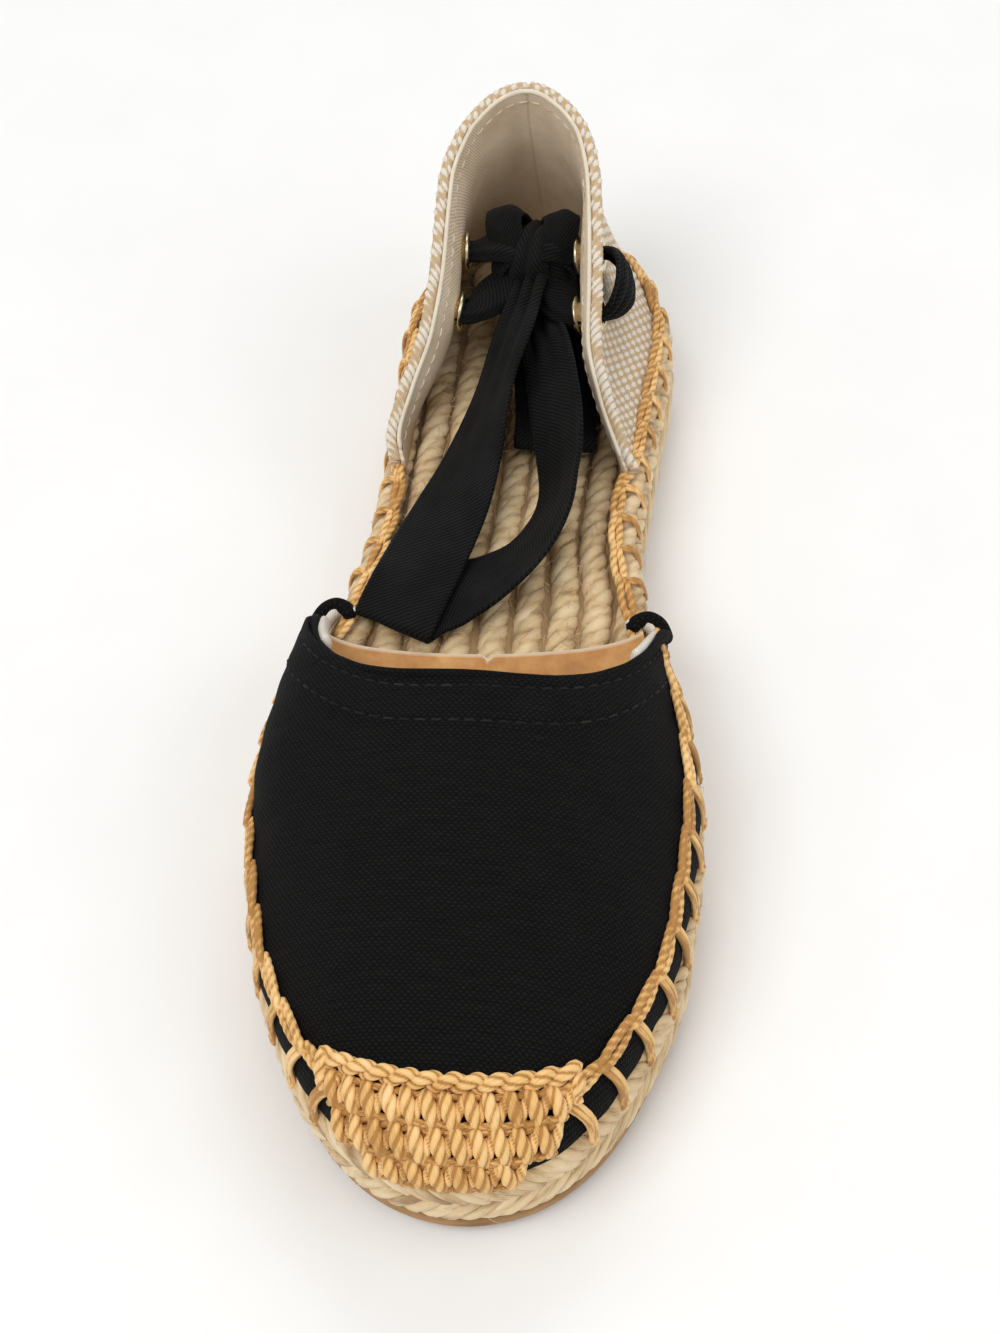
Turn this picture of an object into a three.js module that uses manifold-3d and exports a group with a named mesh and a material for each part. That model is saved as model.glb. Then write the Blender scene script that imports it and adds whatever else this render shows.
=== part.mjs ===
// Tie espadrille, right foot. Millimetres, Z up, toe towards -Y, medial side towards +X.
// A jute sole on a rubber sheet carries a canvas vamp, a woven heel counter with four
// eyelets, a leather forefoot sock, a crochet toe cap and a black twill ribbon.
//
// Every form is a function of s, the distance from the back of the heel along the sole,
// so a point of the shoe is (x, HALF_LENGTH - s, z).
import * as THREE from 'three';
import Module from 'manifold-3d';
import { mergeVertices } from 'three/addons/utils/BufferGeometryUtils.js';

// ---- driving dimensions ----
const LENGTH = 250; // sole, back of heel to tip of toe
const HALF_LENGTH = LENGTH / 2;
const GAP = 0.3; // between pieces that touch
const OUTSOLE_THICKNESS = 3;
const SOLE_TOP = 24.5; // footbed edge above the ground
const SHOULDER_HEIGHT = 20; // where the sole's side steps in to take the upper
const SHOULDER_INSET = 2.8;
const FOOTBED_DISH = 1.4; // how far the footbed's middle lies below its edge
const TOE_SPRING = 3.5;
const SPRING_START = 195; // the sole is flat from the ball's start to here
const ARCH_RISE = 1.2;
const ARCH_START = 72;
const ARCH_END = 143;
const VAMP_WALL = 1.6;
const VAMP_FOOT = SHOULDER_HEIGHT + GAP;
const VAMP_INSET = 0.7;
const SECTION_POWER = 0.87; // 1 is a round arch, less is squarer
const THROAT_POWER = 1.1;
const THROAT_CORNER = 124; // s of the throat's corners
const THROAT_DEPTH = 33; // how much further forward its middle lies
const COUNTER_WALL = 3;
const COUNTER_INSET = 4.4;
const COUNTER_FRONT_INSET = 3;
const COUNTER_FRONT = 82; // s of its front ends
const RIM_BACK = 7;
const RIM_SHIFT = -2.3; // the rim leans to the lateral side
const RIM_TOP = 71.2;
const RIM_FRONT = 27.6;
const HEEL_BULGE = 3;
const TIE_PULL = 3.4; // how far the tied ribbon draws the counter's walls inward
const SOCK_THICKNESS = 1.2;
const SOCK_REAR_LATERAL = 133.5;
const SOCK_REAR_MEDIAL = 128;
const CAP_START = 237; // s of the toe cap's upper edge
const CAP_THICKNESS = 2.2;
const CAP_GAP = 0.45;
const CAP_CENTRE = 2.8;
const EYELET_BORE = 2.3;
const EYELET_BARREL = 2.9;
const EYELET_FLANGE = 4.4;
const EYELET_LIP = 0.6;
const EYELET_SEAT = 1.1; // room for the curved wall under the flanges
const EYELET_REACH = COUNTER_WALL / 2 + EYELET_SEAT + EYELET_LIP; // middle of the wall to a face
const RIBBON_WIDTH = 18;
const RIBBON_THICKNESS = 1;
const BAR_BULGE = 4.4; // how far the ribbon arches out between a side's two eyelets
const KNOT = { x: 0.5, s: 34, z: 42, radii: [8.5, 8, 7.5] };

const LATERAL = -1;
const MEDIAL = 1;

// Half widths of the sole at its widest level.
const OUTLINE = [
  { s: 0, lateral: 0, medial: 0 },
  { s: 8, lateral: 17.5, medial: 17.5 },
  { s: 20, lateral: 26.5, medial: 26.8 },
  { s: 38, lateral: 31, medial: 31.4 },
  { s: 65, lateral: 30.4, medial: 29.6 },
  { s: 95, lateral: 30.8, medial: 27.9 },
  { s: 125, lateral: 36.8, medial: 34 },
  { s: 150, lateral: 44.4, medial: 42.4 },
  { s: 170, lateral: 45.7, medial: 44.7 },
  { s: 200, lateral: 42.2, medial: 42.2 },
  { s: 220, lateral: 35.4, medial: 35.6 },
  { s: 235, lateral: 26.8, medial: 27.4 },
  { s: 245, lateral: 16.4, medial: 16.9 },
  { s: 250, lateral: 0, medial: 0 },
];

// Height of the vamp's crown above its foot, before the toe closes it.
const CROWN = [
  { s: 120, height: 35 },
  { s: 160, height: 31.5 },
  { s: 200, height: 25 },
  { s: 235, height: 19.5 },
  { s: 250, height: 18 },
];
const TOE_CLOSING = 205; // s where the crown starts to close

// Half widths of the counter's rim, either side of its own centre line.
const RIM = [
  { s: 7, lateral: 0, medial: 0 },
  { s: 10, lateral: 8, medial: 7.6 },
  { s: 15, lateral: 12.4, medial: 12.4 },
  { s: 20, lateral: 15.3, medial: 15.2 },
  { s: 30, lateral: 18, medial: 17.7 },
  { s: 48, lateral: 18.6, medial: 19.2 },
  { s: 60, lateral: 20.4, medial: 19.6 },
  { s: 70, lateral: 24.2, medial: 22.6 },
  { s: 78, lateral: 26.6, medial: 26.6 },
  { s: 82, lateral: 25.4, medial: 29 },
];

// The toe cap's half width at each height, seen from the front.
const CAP_SHAPE = [
  { z: 60, half: 22 },
  { z: 32, half: 21.5 },
  { z: 28, half: 18.5 },
  { z: 24, half: 14 },
  { z: 22.3, half: 10 },
];

// Places on the counter: along is the share of the way from the back to a front end,
// up the share of the way from the foot to the rim.
const EYELETS = [
  { name: 'rear', along: 0.6, up: 0.63 },
  { name: 'front', along: 0.73, up: 0.6 },
];

// The ribbon's two loops, from the knot and back to it: the middle of the band, the
// direction in which its width lies, and the width, which is less where it is gathered.
const LONG_LOOP = [
  { x: -0.8, s: 46.5, z: 44.6, lies: [0.9, 0, 0.45], width: 8 },
  { x: -2.6, s: 54, z: 42, lies: [0.75, 0, 0.66], width: 12 },
  { x: -5.2, s: 64, z: 38, lies: [0.62, 0, 0.78], width: 16 },
  { x: -7.6, s: 75, z: 34.6, lies: [0.66, 0.1, 0.7], width: RIBBON_WIDTH },
  { x: -9.8, s: 86, z: 32, lies: [0.8, 0.15, 0.5], width: RIBBON_WIDTH },
  { x: -12.6, s: 97, z: 30.2, lies: [0.9, 0.3, 0.25], width: RIBBON_WIDTH },
  { x: -16, s: 108, z: 29.1, lies: [0.92, 0.38, 0.08], width: RIBBON_WIDTH },
  { x: -19, s: 118, z: 28.7, lies: [0.9, 0.42, 0], width: RIBBON_WIDTH },
  { x: -21, s: 125.4, z: 28.4, lies: [0.9, 0.42, 0], width: RIBBON_WIDTH },
  { x: -21.8, s: 127.8, z: 27.5, lies: [0.9, 0.42, 0], width: RIBBON_WIDTH },
  { x: -20.8, s: 125.6, z: 26.6, lies: [0.88, 0.45, 0], width: RIBBON_WIDTH },
  { x: -16.5, s: 121.2, z: 26.5, lies: [0.7, 0.7, 0.05], width: RIBBON_WIDTH },
  { x: -10, s: 118, z: 27, lies: [0.42, 0.9, 0.1], width: RIBBON_WIDTH },
  { x: -3, s: 115, z: 28.8, lies: [0.48, 0.8, 0.35], width: RIBBON_WIDTH },
  { x: 4, s: 109.5, z: 31, lies: [0.62, 0.5, 0.6], width: RIBBON_WIDTH },
  { x: 8.6, s: 101, z: 32.5, lies: [0.6, 0.25, 0.76], width: RIBBON_WIDTH },
  { x: 10.3, s: 91, z: 34, lies: [0.5, 0, 0.86], width: RIBBON_WIDTH },
  { x: 9.6, s: 81, z: 37, lies: [0.55, -0.08, 0.83], width: RIBBON_WIDTH },
  { x: 7.5, s: 70, z: 38.8, lies: [0.62, -0.1, 0.78], width: 16 },
  { x: 5, s: 58, z: 39, lies: [0.75, -0.05, 0.66], width: 12 },
  { x: 2.4, s: 47.6, z: 38, lies: [0.88, 0, 0.47], width: 7 },
];
const SHORT_LOOP = [
  { x: 4.5, s: 43.5, z: 33, lies: [1, 0, 0.1], width: 12 },
  { x: 6, s: 52, z: 30.6, lies: [1, 0, 0.05], width: 16 },
  { x: 7, s: 60, z: 29.2, lies: [1, 0.05, 0], width: RIBBON_WIDTH },
  { x: 7.6, s: 68, z: 28.6, lies: [1, 0.05, 0], width: RIBBON_WIDTH },
  { x: 7.8, s: 74, z: 28.2, lies: [1, 0.05, 0], width: RIBBON_WIDTH },
  { x: 7.9, s: 76.4, z: 27.2, lies: [1, 0.05, 0], width: RIBBON_WIDTH },
  { x: 7.8, s: 74.2, z: 26.3, lies: [1, 0.05, 0], width: RIBBON_WIDTH },
  { x: 7.2, s: 66, z: 26, lies: [1, 0.05, 0], width: RIBBON_WIDTH },
  { x: 6, s: 56, z: 25.8, lies: [1, 0, 0], width: RIBBON_WIDTH },
  { x: 4.5, s: 45, z: 25.8, lies: [1, 0, 0], width: RIBBON_WIDTH },
  { x: 3, s: 34, z: 26, lies: [1, 0, 0], width: 16 },
  { x: 2, s: 24, z: 27.2, lies: [1, 0, 0], width: 14 },
  { x: 1.4, s: 18.5, z: 31, lies: [1, 0, 0], width: 12 },
  { x: 1, s: 20.5, z: 35.5, lies: [1, 0, 0], width: 10 },
];

// ---- curves through the tables ----
function tableCurve(rows, valueOf) {
  const at = rows.map((row) => row.s);
  const value = rows.map(valueOf);
  const rise = at.slice(1).map((s, i) => (value[i + 1] - value[i]) / (s - at[i]));
  const slope = at.map((_, i) => {
    if (i === 0) return rise[0];
    if (i === at.length - 1) return rise[i - 1];
    const [before, after] = [rise[i - 1], rise[i]];
    return before * after <= 0 ? 0 : (2 * before * after) / (before + after);
  });
  return (s) => {
    const inside = THREE.MathUtils.clamp(s, at[0], at[at.length - 1]);
    let i = 0;
    while (i < at.length - 2 && inside > at[i + 1]) i += 1;
    const span = at[i + 1] - at[i];
    const t = (inside - at[i]) / span;
    const hermite = [2 * t ** 3 - 3 * t ** 2 + 1, t ** 3 - 2 * t ** 2 + t, 3 * t ** 2 - 2 * t ** 3, t ** 3 - t ** 2];
    return (
      hermite[0] * value[i] + hermite[1] * span * slope[i] + hermite[2] * value[i + 1] + hermite[3] * span * slope[i + 1]
    );
  };
}

// Widths are interpolated as squares, which gives the outline round ends.
const squared = {
  [LATERAL]: tableCurve(OUTLINE, (row) => row.lateral ** 2),
  [MEDIAL]: tableCurve(OUTLINE, (row) => row.medial ** 2),
};
const rimSquared = {
  [LATERAL]: tableCurve(RIM, (row) => row.lateral ** 2),
  [MEDIAL]: tableCurve(RIM, (row) => row.medial ** 2),
};
const crownHeight = tableCurve(CROWN, (row) => row.height);

const angleAt = (s) => Math.acos(1 - (2 * s) / LENGTH);
const stationAt = (angle) => (LENGTH * (1 - Math.cos(angle))) / 2;
const centreLine = (s) => 3.4 * Math.max(0, s / HALF_LENGTH - 1) ** 2; // the toe turns inward
const point = (x, s, z) => new THREE.Vector3(x, HALF_LENGTH - s, z);

// Toe spring and arch, added to every height.
function lift(s) {
  const spring = TOE_SPRING * (Math.max(0, s - SPRING_START) / (LENGTH - SPRING_START)) ** 2;
  const along = THREE.MathUtils.clamp((s - ARCH_START) / (ARCH_END - ARCH_START), 0, 1);
  return spring + ARCH_RISE * Math.sin(Math.PI * along) ** 2;
}

// A point of the sole's outline, moved inward by inset along the outline's normal.
// The angle runs from 0 at the heel to PI at the toe, on either side.
function outlinePoint(angle, side) {
  const s = stationAt(angle);
  const half = Math.sqrt(Math.max(0, squared[side](s))) * Math.sign(Math.sin(angle));
  return new THREE.Vector2(centreLine(s) + side * half, s);
}

function edge(angle, side, inset) {
  const step = 0.004;
  const along = outlinePoint(angle + step, side).sub(outlinePoint(angle - step, side)).normalize();
  const outward = new THREE.Vector2(along.y, -along.x).multiplyScalar(side);
  return outlinePoint(angle, side).addScaledVector(outward, -inset);
}

// ---- building closed solids from grids of points ----
function solid(grids) {
  const corners = [];
  for (const grid of grids) {
    for (let i = 0; i + 1 < grid.length; i += 1) {
      for (let j = 0; j + 1 < grid[i].length; j += 1) {
        const [a, b] = [grid[i][j], grid[i][j + 1]];
        const [c, d] = [grid[i + 1][j], grid[i + 1][j + 1]];
        corners.push([a, c, b], [b, c, d]);
      }
    }
  }
  const same = (p, q) => p.distanceToSquared(q) < 1e-8;
  const kept = corners.filter(([p, q, r]) => !same(p, q) && !same(q, r) && !same(r, p));
  const geometry = new THREE.BufferGeometry().setFromPoints(kept.flat());
  return outward(mergeVertices(geometry, 1e-4));
}

// Turns a closed geometry's faces outward, if they all point inward.
function outward(geometry) {
  const at = geometry.attributes.position;
  const index = geometry.index.array;
  const corner = (k) => new THREE.Vector3().fromBufferAttribute(at, index[k]);
  let volume = 0;
  for (let k = 0; k < index.length; k += 3) {
    volume += corner(k).dot(corner(k + 1).cross(corner(k + 2)));
  }
  if (volume < 0) {
    for (let k = 0; k < index.length; k += 3) {
      [index[k], index[k + 1]] = [index[k + 1], index[k]];
    }
  }
  return geometry;
}

const steps = (from, to, count) => Array.from({ length: count + 1 }, (_, i) => from + ((to - from) * i) / count);

// Closed rings one above another, with a grid across the first and the last.
// rings is a list of { inset, height }, crown(across, s) shapes the last grid.
function slab(rings, from, to, stations, crown) {
  const angles = steps(from, to, stations);
  const place = (angle, side, ring) => {
    const at = edge(angle, side, ring.inset);
    return point(at.x, at.y, ring.height + lift(at.y));
  };
  const round = rings.map((ring) => {
    const up = angles.map((angle) => place(angle, LATERAL, ring));
    const down = angles.map((angle) => place(angle, MEDIAL, ring)).reverse();
    return [...up, ...down, up[0]];
  });
  const across = steps(0, 1, 8);
  const cap = (ring, shape) =>
    angles.map((angle) => {
      const left = place(angle, LATERAL, ring);
      const right = place(angle, MEDIAL, ring);
      return across.map((t) => {
        const p = left.clone().lerp(right, t);
        p.z += shape(2 * t - 1, HALF_LENGTH - p.y);
        return p;
      });
    });
  const bottom = cap(rings[0], () => 0);
  const top = cap(rings[rings.length - 1], crown).map((row) => [...row].reverse());
  return solid([round, bottom, top]);
}

// ---- boolean joins and cuts ----
const wasm = await Module();
wasm.setup();

function toManifold(geometry) {
  const plain = geometry.clone();
  plain.deleteAttribute('normal');
  plain.deleteAttribute('uv');
  const welded = mergeVertices(plain, 1e-4);
  return new wasm.Manifold(
    new wasm.Mesh({
      numProp: 3,
      vertProperties: new Float32Array(welded.attributes.position.array),
      triVerts: new Uint32Array(welded.index.array),
    }),
  );
}

function fromManifold(manifold) {
  const mesh = manifold.getMesh();
  const geometry = new THREE.BufferGeometry();
  geometry.setAttribute('position', new THREE.BufferAttribute(mesh.vertProperties, 3));
  geometry.setIndex(new THREE.BufferAttribute(mesh.triVerts, 1));
  return geometry;
}

// ---- sole ----
// The footbed's height against its edge: dished across, level at the heel's and toe's ends.
function footbed(across, s) {
  const fromEnd = Math.min(s, LENGTH - s);
  return -FOOTBED_DISH * (1 - across ** 2) * THREE.MathUtils.smoothstep(fromEnd, 7, 32);
}


function makeOutsole() {
  const rings = [
    { inset: 1.6, height: 0 },
    { inset: 1.2, height: OUTSOLE_THICKNESS },
  ];
  return slab(rings, 0, Math.PI, 34, () => 0);
}

function makeJuteSole() {
  const bottom = OUTSOLE_THICKNESS + GAP;
  const rings = [
    { inset: 1.8, height: bottom },
    { inset: 0.3, height: bottom + 3 },
    { inset: 0, height: bottom + 8 },
    { inset: 0.4, height: SHOULDER_HEIGHT - 2 },
    { inset: 1, height: SHOULDER_HEIGHT },
    { inset: SHOULDER_INSET, height: SHOULDER_HEIGHT },
    { inset: SHOULDER_INSET + 0.4, height: SOLE_TOP - 1 },
    { inset: SHOULDER_INSET + 1.3, height: SOLE_TOP },
  ];
  return slab(rings, 0, Math.PI, 36, footbed);
}

function makeForefootSock() {
  const inset = VAMP_INSET + VAMP_WALL + 2.6;
  const across = steps(0, 1, 8);
  const rearLateral = angleAt(SOCK_REAR_LATERAL);
  const rearMedial = angleAt(SOCK_REAR_MEDIAL);
  const face = (height) =>
    steps(0, 1, 20).map((along) => {
      const left = edge(THREE.MathUtils.lerp(rearLateral, Math.PI, along), LATERAL, inset);
      const right = edge(THREE.MathUtils.lerp(rearMedial, Math.PI, along), MEDIAL, inset);
      return across.map((t) => {
        const at = left.clone().lerp(right, t);
        const shape = footbed(2 * t - 1, at.y);
        return point(at.x, at.y, height + lift(at.y) + shape);
      });
    });
  const under = face(SOLE_TOP + GAP);
  const over = face(SOLE_TOP + GAP + SOCK_THICKNESS);
  const lateral = [under.map((row) => row[0]), over.map((row) => row[0])];
  const medial = [over.map((row) => row[8]), under.map((row) => row[8])];
  const back = [over[0], under[0]];
  return solid([under, over.map((row) => [...row].reverse()), lateral, medial, back]);
}

// ---- vamp ----
// The arch over the foot at one angle: phi runs from 0 at the lateral edge to PI.
// grow moves the surface outward.
function crownAt(angle, grow) {
  const start = angleAt(TOE_CLOSING);
  const closing = 1 - THREE.MathUtils.clamp((angle - start) / (Math.PI - start), 0, 1) ** 2;
  return (crownHeight(stationAt(angle)) + grow) * closing;
}

// The section is rounder at the throat than at the toe.
function vampPoint(angle, phi, grow) {
  const left = edge(angle, LATERAL, VAMP_INSET - grow);
  const right = edge(angle, MEDIAL, VAMP_INSET - grow);
  const forward = THREE.MathUtils.smoothstep(stationAt(angle), THROAT_CORNER, 215);
  const power = THREE.MathUtils.lerp(THROAT_POWER, SECTION_POWER, forward);
  const swing = Math.sign(Math.cos(phi)) * Math.abs(Math.cos(phi)) ** power;
  const rise = Math.max(0, Math.sin(phi)) ** power;
  const at = left.lerp(right, (1 - swing) / 2);
  return point(at.x, at.y, VAMP_FOOT + crownAt(angle, grow) * rise + lift(at.y));
}

// The throat's edge lies furthest forward in the middle.
function throatAngle(phi) {
  return angleAt(THROAT_CORNER + THROAT_DEPTH * (1 - Math.abs(Math.cos(phi)) ** 3.4));
}

function vampGrid(grow, along, around) {
  return steps(0, 1, along).map((t) =>
    steps(0, Math.PI, around).map((phi) => {
      const start = throatAngle(phi);
      return vampPoint(start + (Math.PI - start) * t, phi, grow);
    }),
  );
}

function makeVamp() {
  const outer = vampGrid(0, 22, 24);
  const inner = vampGrid(-VAMP_WALL, 22, 24);
  const last = outer[0].length - 1;
  const lateral = [outer.map((row) => row[0]), inner.map((row) => row[0])];
  const medial = [inner.map((row) => row[last]), outer.map((row) => row[last])];
  const throat = [inner[0], outer[0]];
  return solid([outer, inner.map((row) => [...row].reverse()), lateral, medial, throat]);
}

// ---- heel counter ----
const counterReach = angleAt(COUNTER_FRONT);

function rimHeight(s) {
  const t = THREE.MathUtils.clamp((COUNTER_FRONT - s) / (COUNTER_FRONT - RIM_BACK), 0, 1);
  return RIM_FRONT + (RIM_TOP - RIM_FRONT) * Math.min(1, t + 0.15 * Math.sin(Math.PI * t));
}

// u runs from -1 at the lateral front end through 0 at the back to 1 at the medial one,
// v from 0 at the foot to 1 at the rim. depth moves the surface inward.
function counterPoint(u, v, depth) {
  const side = u < 0 ? LATERAL : MEDIAL;
  const angle = Math.abs(u) * counterReach;
  const share = (1 - Math.cos(angle)) / (1 - Math.cos(counterReach));
  const foot = edge(angle, side, THREE.MathUtils.lerp(COUNTER_INSET, COUNTER_FRONT_INSET, share) + depth);
  const rimS = RIM_BACK + (COUNTER_FRONT - RIM_BACK) * share;
  const half = Math.sqrt(Math.max(0, rimSquared[side](rimS)));
  const tip = 1 - share ** 6;
  const rim = new THREE.Vector2(RIM_SHIFT + side * half, rimS);
  const inward = new THREE.Vector2(-side * Math.min(1, half / 14), Math.max(0, 1 - half / 14)).normalize();
  rim.addScaledVector(inward, depth);
  const reach = Math.sin((Math.PI / 2) * v) + 0.06 * Math.sin(Math.PI * v) * tip;
  const at = foot.lerp(rim, reach);
  const pull = TIE_PULL * Math.sin(Math.PI * share) ** 2 * Math.sin(Math.PI * v);
  at.x -= side * pull;
  at.y -= HEEL_BULGE * Math.sin(Math.PI * v ** 0.8) * Math.max(0, Math.cos(angle * 2.2));
  const footZ = SOLE_TOP + GAP;
  const z = footZ + (rimHeight(rimS) - footZ) * v;
  return point(at.x, at.y, z + lift(at.y));
}

function makeCounter() {
  const grid = (depth) => steps(0, 1, 8).map((v) => steps(-1, 1, 36).map((u) => counterPoint(u, v, depth)));
  const outer = grid(0);
  const inner = grid(COUNTER_WALL);
  const end = outer[0].length - 1;
  const bottom = [inner[0], outer[0]];
  const rim = [outer[8], inner[8]];
  const lateral = [outer.map((row) => row[0]), inner.map((row) => row[0])];
  const medial = [inner.map((row) => row[end]), outer.map((row) => row[end])];
  return solid([outer, inner.map((row) => [...row].reverse()), bottom, rim, lateral, medial]);
}

// Each eyelet's place in the middle of the wall, and the wall's outward direction there.
const eyelets = [LATERAL, MEDIAL].flatMap((side) =>
  EYELETS.map(({ name, along, up }) => {
    const wall = (u, v) => counterPoint(u, v, COUNTER_WALL / 2);
    const u = side * along;
    const forward = wall(u + 0.01, up).sub(wall(u - 0.01, up));
    const upward = wall(u, up + 0.01).sub(wall(u, up - 0.01));
    const normal = forward.cross(upward).normalize();
    if (normal.x * side < 0) normal.negate();
    return { side, name, centre: wall(u, up), normal };
  }),
);

function turnedTo({ centre, normal }, geometry) {
  const turn = new THREE.Quaternion().setFromUnitVectors(new THREE.Vector3(0, 1, 0), normal);
  return geometry.applyQuaternion(turn).translate(centre.x, centre.y, centre.z);
}

function makeEyelet(eyelet) {
  const face = EYELET_REACH;
  const under = EYELET_REACH - EYELET_LIP;
  const profile = [
    [EYELET_BORE, -face],
    [EYELET_FLANGE, -face],
    [EYELET_FLANGE, -under],
    [EYELET_BARREL, -under],
    [EYELET_BARREL, under],
    [EYELET_FLANGE, under],
    [EYELET_FLANGE, face],
    [EYELET_BORE, face],
    [EYELET_BORE, -face],
  ].map(([radius, height]) => new THREE.Vector2(radius, height));
  return turnedTo(eyelet, new THREE.LatheGeometry(profile, 16));
}

function makePiercedCounter() {
  let counter = toManifold(makeCounter());
  for (const eyelet of eyelets) {
    const hole = turnedTo(eyelet, new THREE.CylinderGeometry(EYELET_BARREL + GAP, EYELET_BARREL + GAP, 10, 16));
    counter = counter.subtract(toManifold(hole));
  }
  return fromManifold(counter);
}

// ---- toe cap, cut between two grown copies of the vamp's toe and the sole ----
function toeForm(grow) {
  const rows = steps(angleAt(222), Math.PI, 12).map((angle) =>
    steps(0, Math.PI, 20).map((phi) => vampPoint(angle, phi, grow)),
  );
  const last = rows[0].length - 1;
  const floor = rows.map((row) => row.map((_, j) => row[0].clone().lerp(row[last], j / last)));
  const dome = solid([rows, floor.map((row) => [...row].reverse()), [floor[0], rows[0]]]);
  const rings = [
    { inset: -grow, height: 12 },
    { inset: 0.3 - grow, height: SHOULDER_HEIGHT - 2 },
    { inset: VAMP_INSET - grow, height: VAMP_FOOT },
    { inset: VAMP_INSET + 1 - grow, height: VAMP_FOOT + 2 },
  ];
  const base = slab(rings, 0, Math.PI, 30, () => 0);
  return toManifold(dome).add(toManifold(base));
}

function makeToeCap() {
  const shell = toeForm(CAP_GAP + CAP_THICKNESS).subtract(toeForm(CAP_GAP));
  const right = CAP_SHAPE.map(({ z, half }) => new THREE.Vector2(CAP_CENTRE + half, z));
  const left = CAP_SHAPE.map(({ z, half }) => new THREE.Vector2(CAP_CENTRE - half, z)).reverse();
  const front = new THREE.ExtrudeGeometry(new THREE.Shape([...right, ...left]), { depth: 40, bevelEnabled: false });
  front.rotateX(Math.PI / 2).translate(0, HALF_LENGTH - CAP_START, 0);
  return fromManifold(shell.intersect(toManifold(front)));
}

// ---- ribbon ----
// A flat band carried along a route of { at, lies, width }.
function makeBand(route, count) {
  const path = new THREE.CatmullRomCurve3(route.map((row) => row.at));
  const rings = steps(0, 1, count).map((t) => {
    const row = t * (route.length - 1);
    const i = Math.min(Math.floor(row), route.length - 2);
    const [before, after, share] = [route[i], route[i + 1], row - i];
    const tangent = path.getTangent(t);
    const across = before.lies.clone().lerp(after.lies, share).projectOnPlane(tangent).normalize();
    const through = new THREE.Vector3().crossVectors(tangent, across).multiplyScalar(RIBBON_THICKNESS / 2);
    across.multiplyScalar(THREE.MathUtils.lerp(before.width, after.width, share) / 2);
    const centre = path.getPoint(t);
    const corner = (a, b) => centre.clone().addScaledVector(across, a).addScaledVector(through, b);
    return [corner(-1, -1), corner(1, -1), corner(1, 1), corner(-1, 1)];
  });
  const first = rings[0];
  const last = rings[rings.length - 1];
  const sides = rings.map((ring) => [...ring, ring[0]]);
  const start = [
    [first[3], first[2]],
    [first[0], first[1]],
  ];
  const end = [
    [last[0], last[1]],
    [last[3], last[2]],
  ];
  return solid([sides, start, end]);
}

function makeLoop(rows, count) {
  const route = rows.map(({ x, s, z, lies: [across, forward, up], width }) => ({
    at: point(x, s, z),
    lies: new THREE.Vector3(across, -forward, up),
    width,
  }));
  return makeBand(route, count);
}

// Outside, the ribbon arches from one eyelet of a side to the other.
function makeBar(side) {
  const [rear, front] = eyelets.filter((eyelet) => eyelet.side === side);
  const off = EYELET_REACH + 2 * GAP + RIBBON_THICKNESS / 2;
  const from = rear.centre.clone().addScaledVector(rear.normal, off);
  const to = front.centre.clone().addScaledVector(front.normal, off);
  const outward = rear.normal.clone().add(front.normal).normalize();
  const along = to.clone().sub(from).normalize();
  const lies = new THREE.Vector3().crossVectors(outward, along);
  const route = [
    { share: 0, bulge: 0.6, width: 6 },
    { share: 0.15, bulge: 2.8, width: 11 },
    { share: 0.5, bulge: BAR_BULGE, width: 15 },
    { share: 0.85, bulge: 2.8, width: 11 },
    { share: 1, bulge: 0.6, width: 6 },
  ].map(({ share, bulge, width }) => ({
    at: from.clone().lerp(to, share).addScaledVector(outward, bulge),
    lies,
    width,
  }));
  return makeBand(route, 12);
}

// Inside, four gathered arms run from the eyelets into one knot.
function makeKnot() {
  const centre = point(KNOT.x, KNOT.s, KNOT.z);
  const lump = new THREE.SphereGeometry(1, 18, 10).scale(...KNOT.radii).translate(centre.x, centre.y, centre.z);
  const arms = eyelets.map(({ centre: eyelet, normal }) => {
    const from = eyelet.clone().addScaledVector(normal, -EYELET_REACH - 1.6);
    const lies = new THREE.Vector3(0, 0.2, 1);
    const middle = from.clone().lerp(centre, 0.5).add(new THREE.Vector3(0, 0, -1));
    return makeBand([
      { at: from, lies, width: 5 },
      { at: middle, lies, width: 8 },
      { at: centre, lies, width: 8 },
    ], 6);
  });
  return fromManifold(arms.reduce((whole, arm) => whole.add(toManifold(arm)), toManifold(lump)));
}

const material = (color, roughness, metalness = 0) => new THREE.MeshStandardMaterial({ color, roughness, metalness });
const RUBBER = material(0xb98f5e, 0.7);
const JUTE = material(0xd9bd8e, 0.95);
const LEATHER = material(0xc58a4a, 0.5);
const CANVAS = material(0x111111, 0.95);
const WEAVE = material(0xe6d5b8, 0.95);
const CROCHET = material(0xdfa95a, 0.8);
const METAL = material(0xd8c9a0, 0.3, 1);
const TWILL = material(0x0e0e0e, 0.9);

const shoe = new THREE.Group();

function add(name, geometry, surface) {
  const mesh = new THREE.Mesh(geometry, surface);
  mesh.name = name;
  shoe.add(mesh);
}

add('outsole', makeOutsole(), RUBBER);
add('jute_sole', makeJuteSole(), JUTE);
add('forefoot_sock', makeForefootSock(), LEATHER);
add('vamp', makeVamp(), CANVAS);
add('heel_counter', makePiercedCounter(), WEAVE);
add('toe_cap', makeToeCap(), CROCHET);
for (const eyelet of eyelets) {
  add(`eyelet_${eyelet.side === LATERAL ? 'lateral' : 'medial'}_${eyelet.name}`, makeEyelet(eyelet), METAL);
}

add('ribbon_bar_lateral', makeBar(LATERAL), TWILL);
add('ribbon_bar_medial', makeBar(MEDIAL), TWILL);
add('ribbon_knot', makeKnot(), TWILL);
add('ribbon_long_loop', makeLoop(LONG_LOOP, 60), TWILL);
add('ribbon_short_loop', makeLoop(SHORT_LOOP, 36), TWILL);

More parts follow.
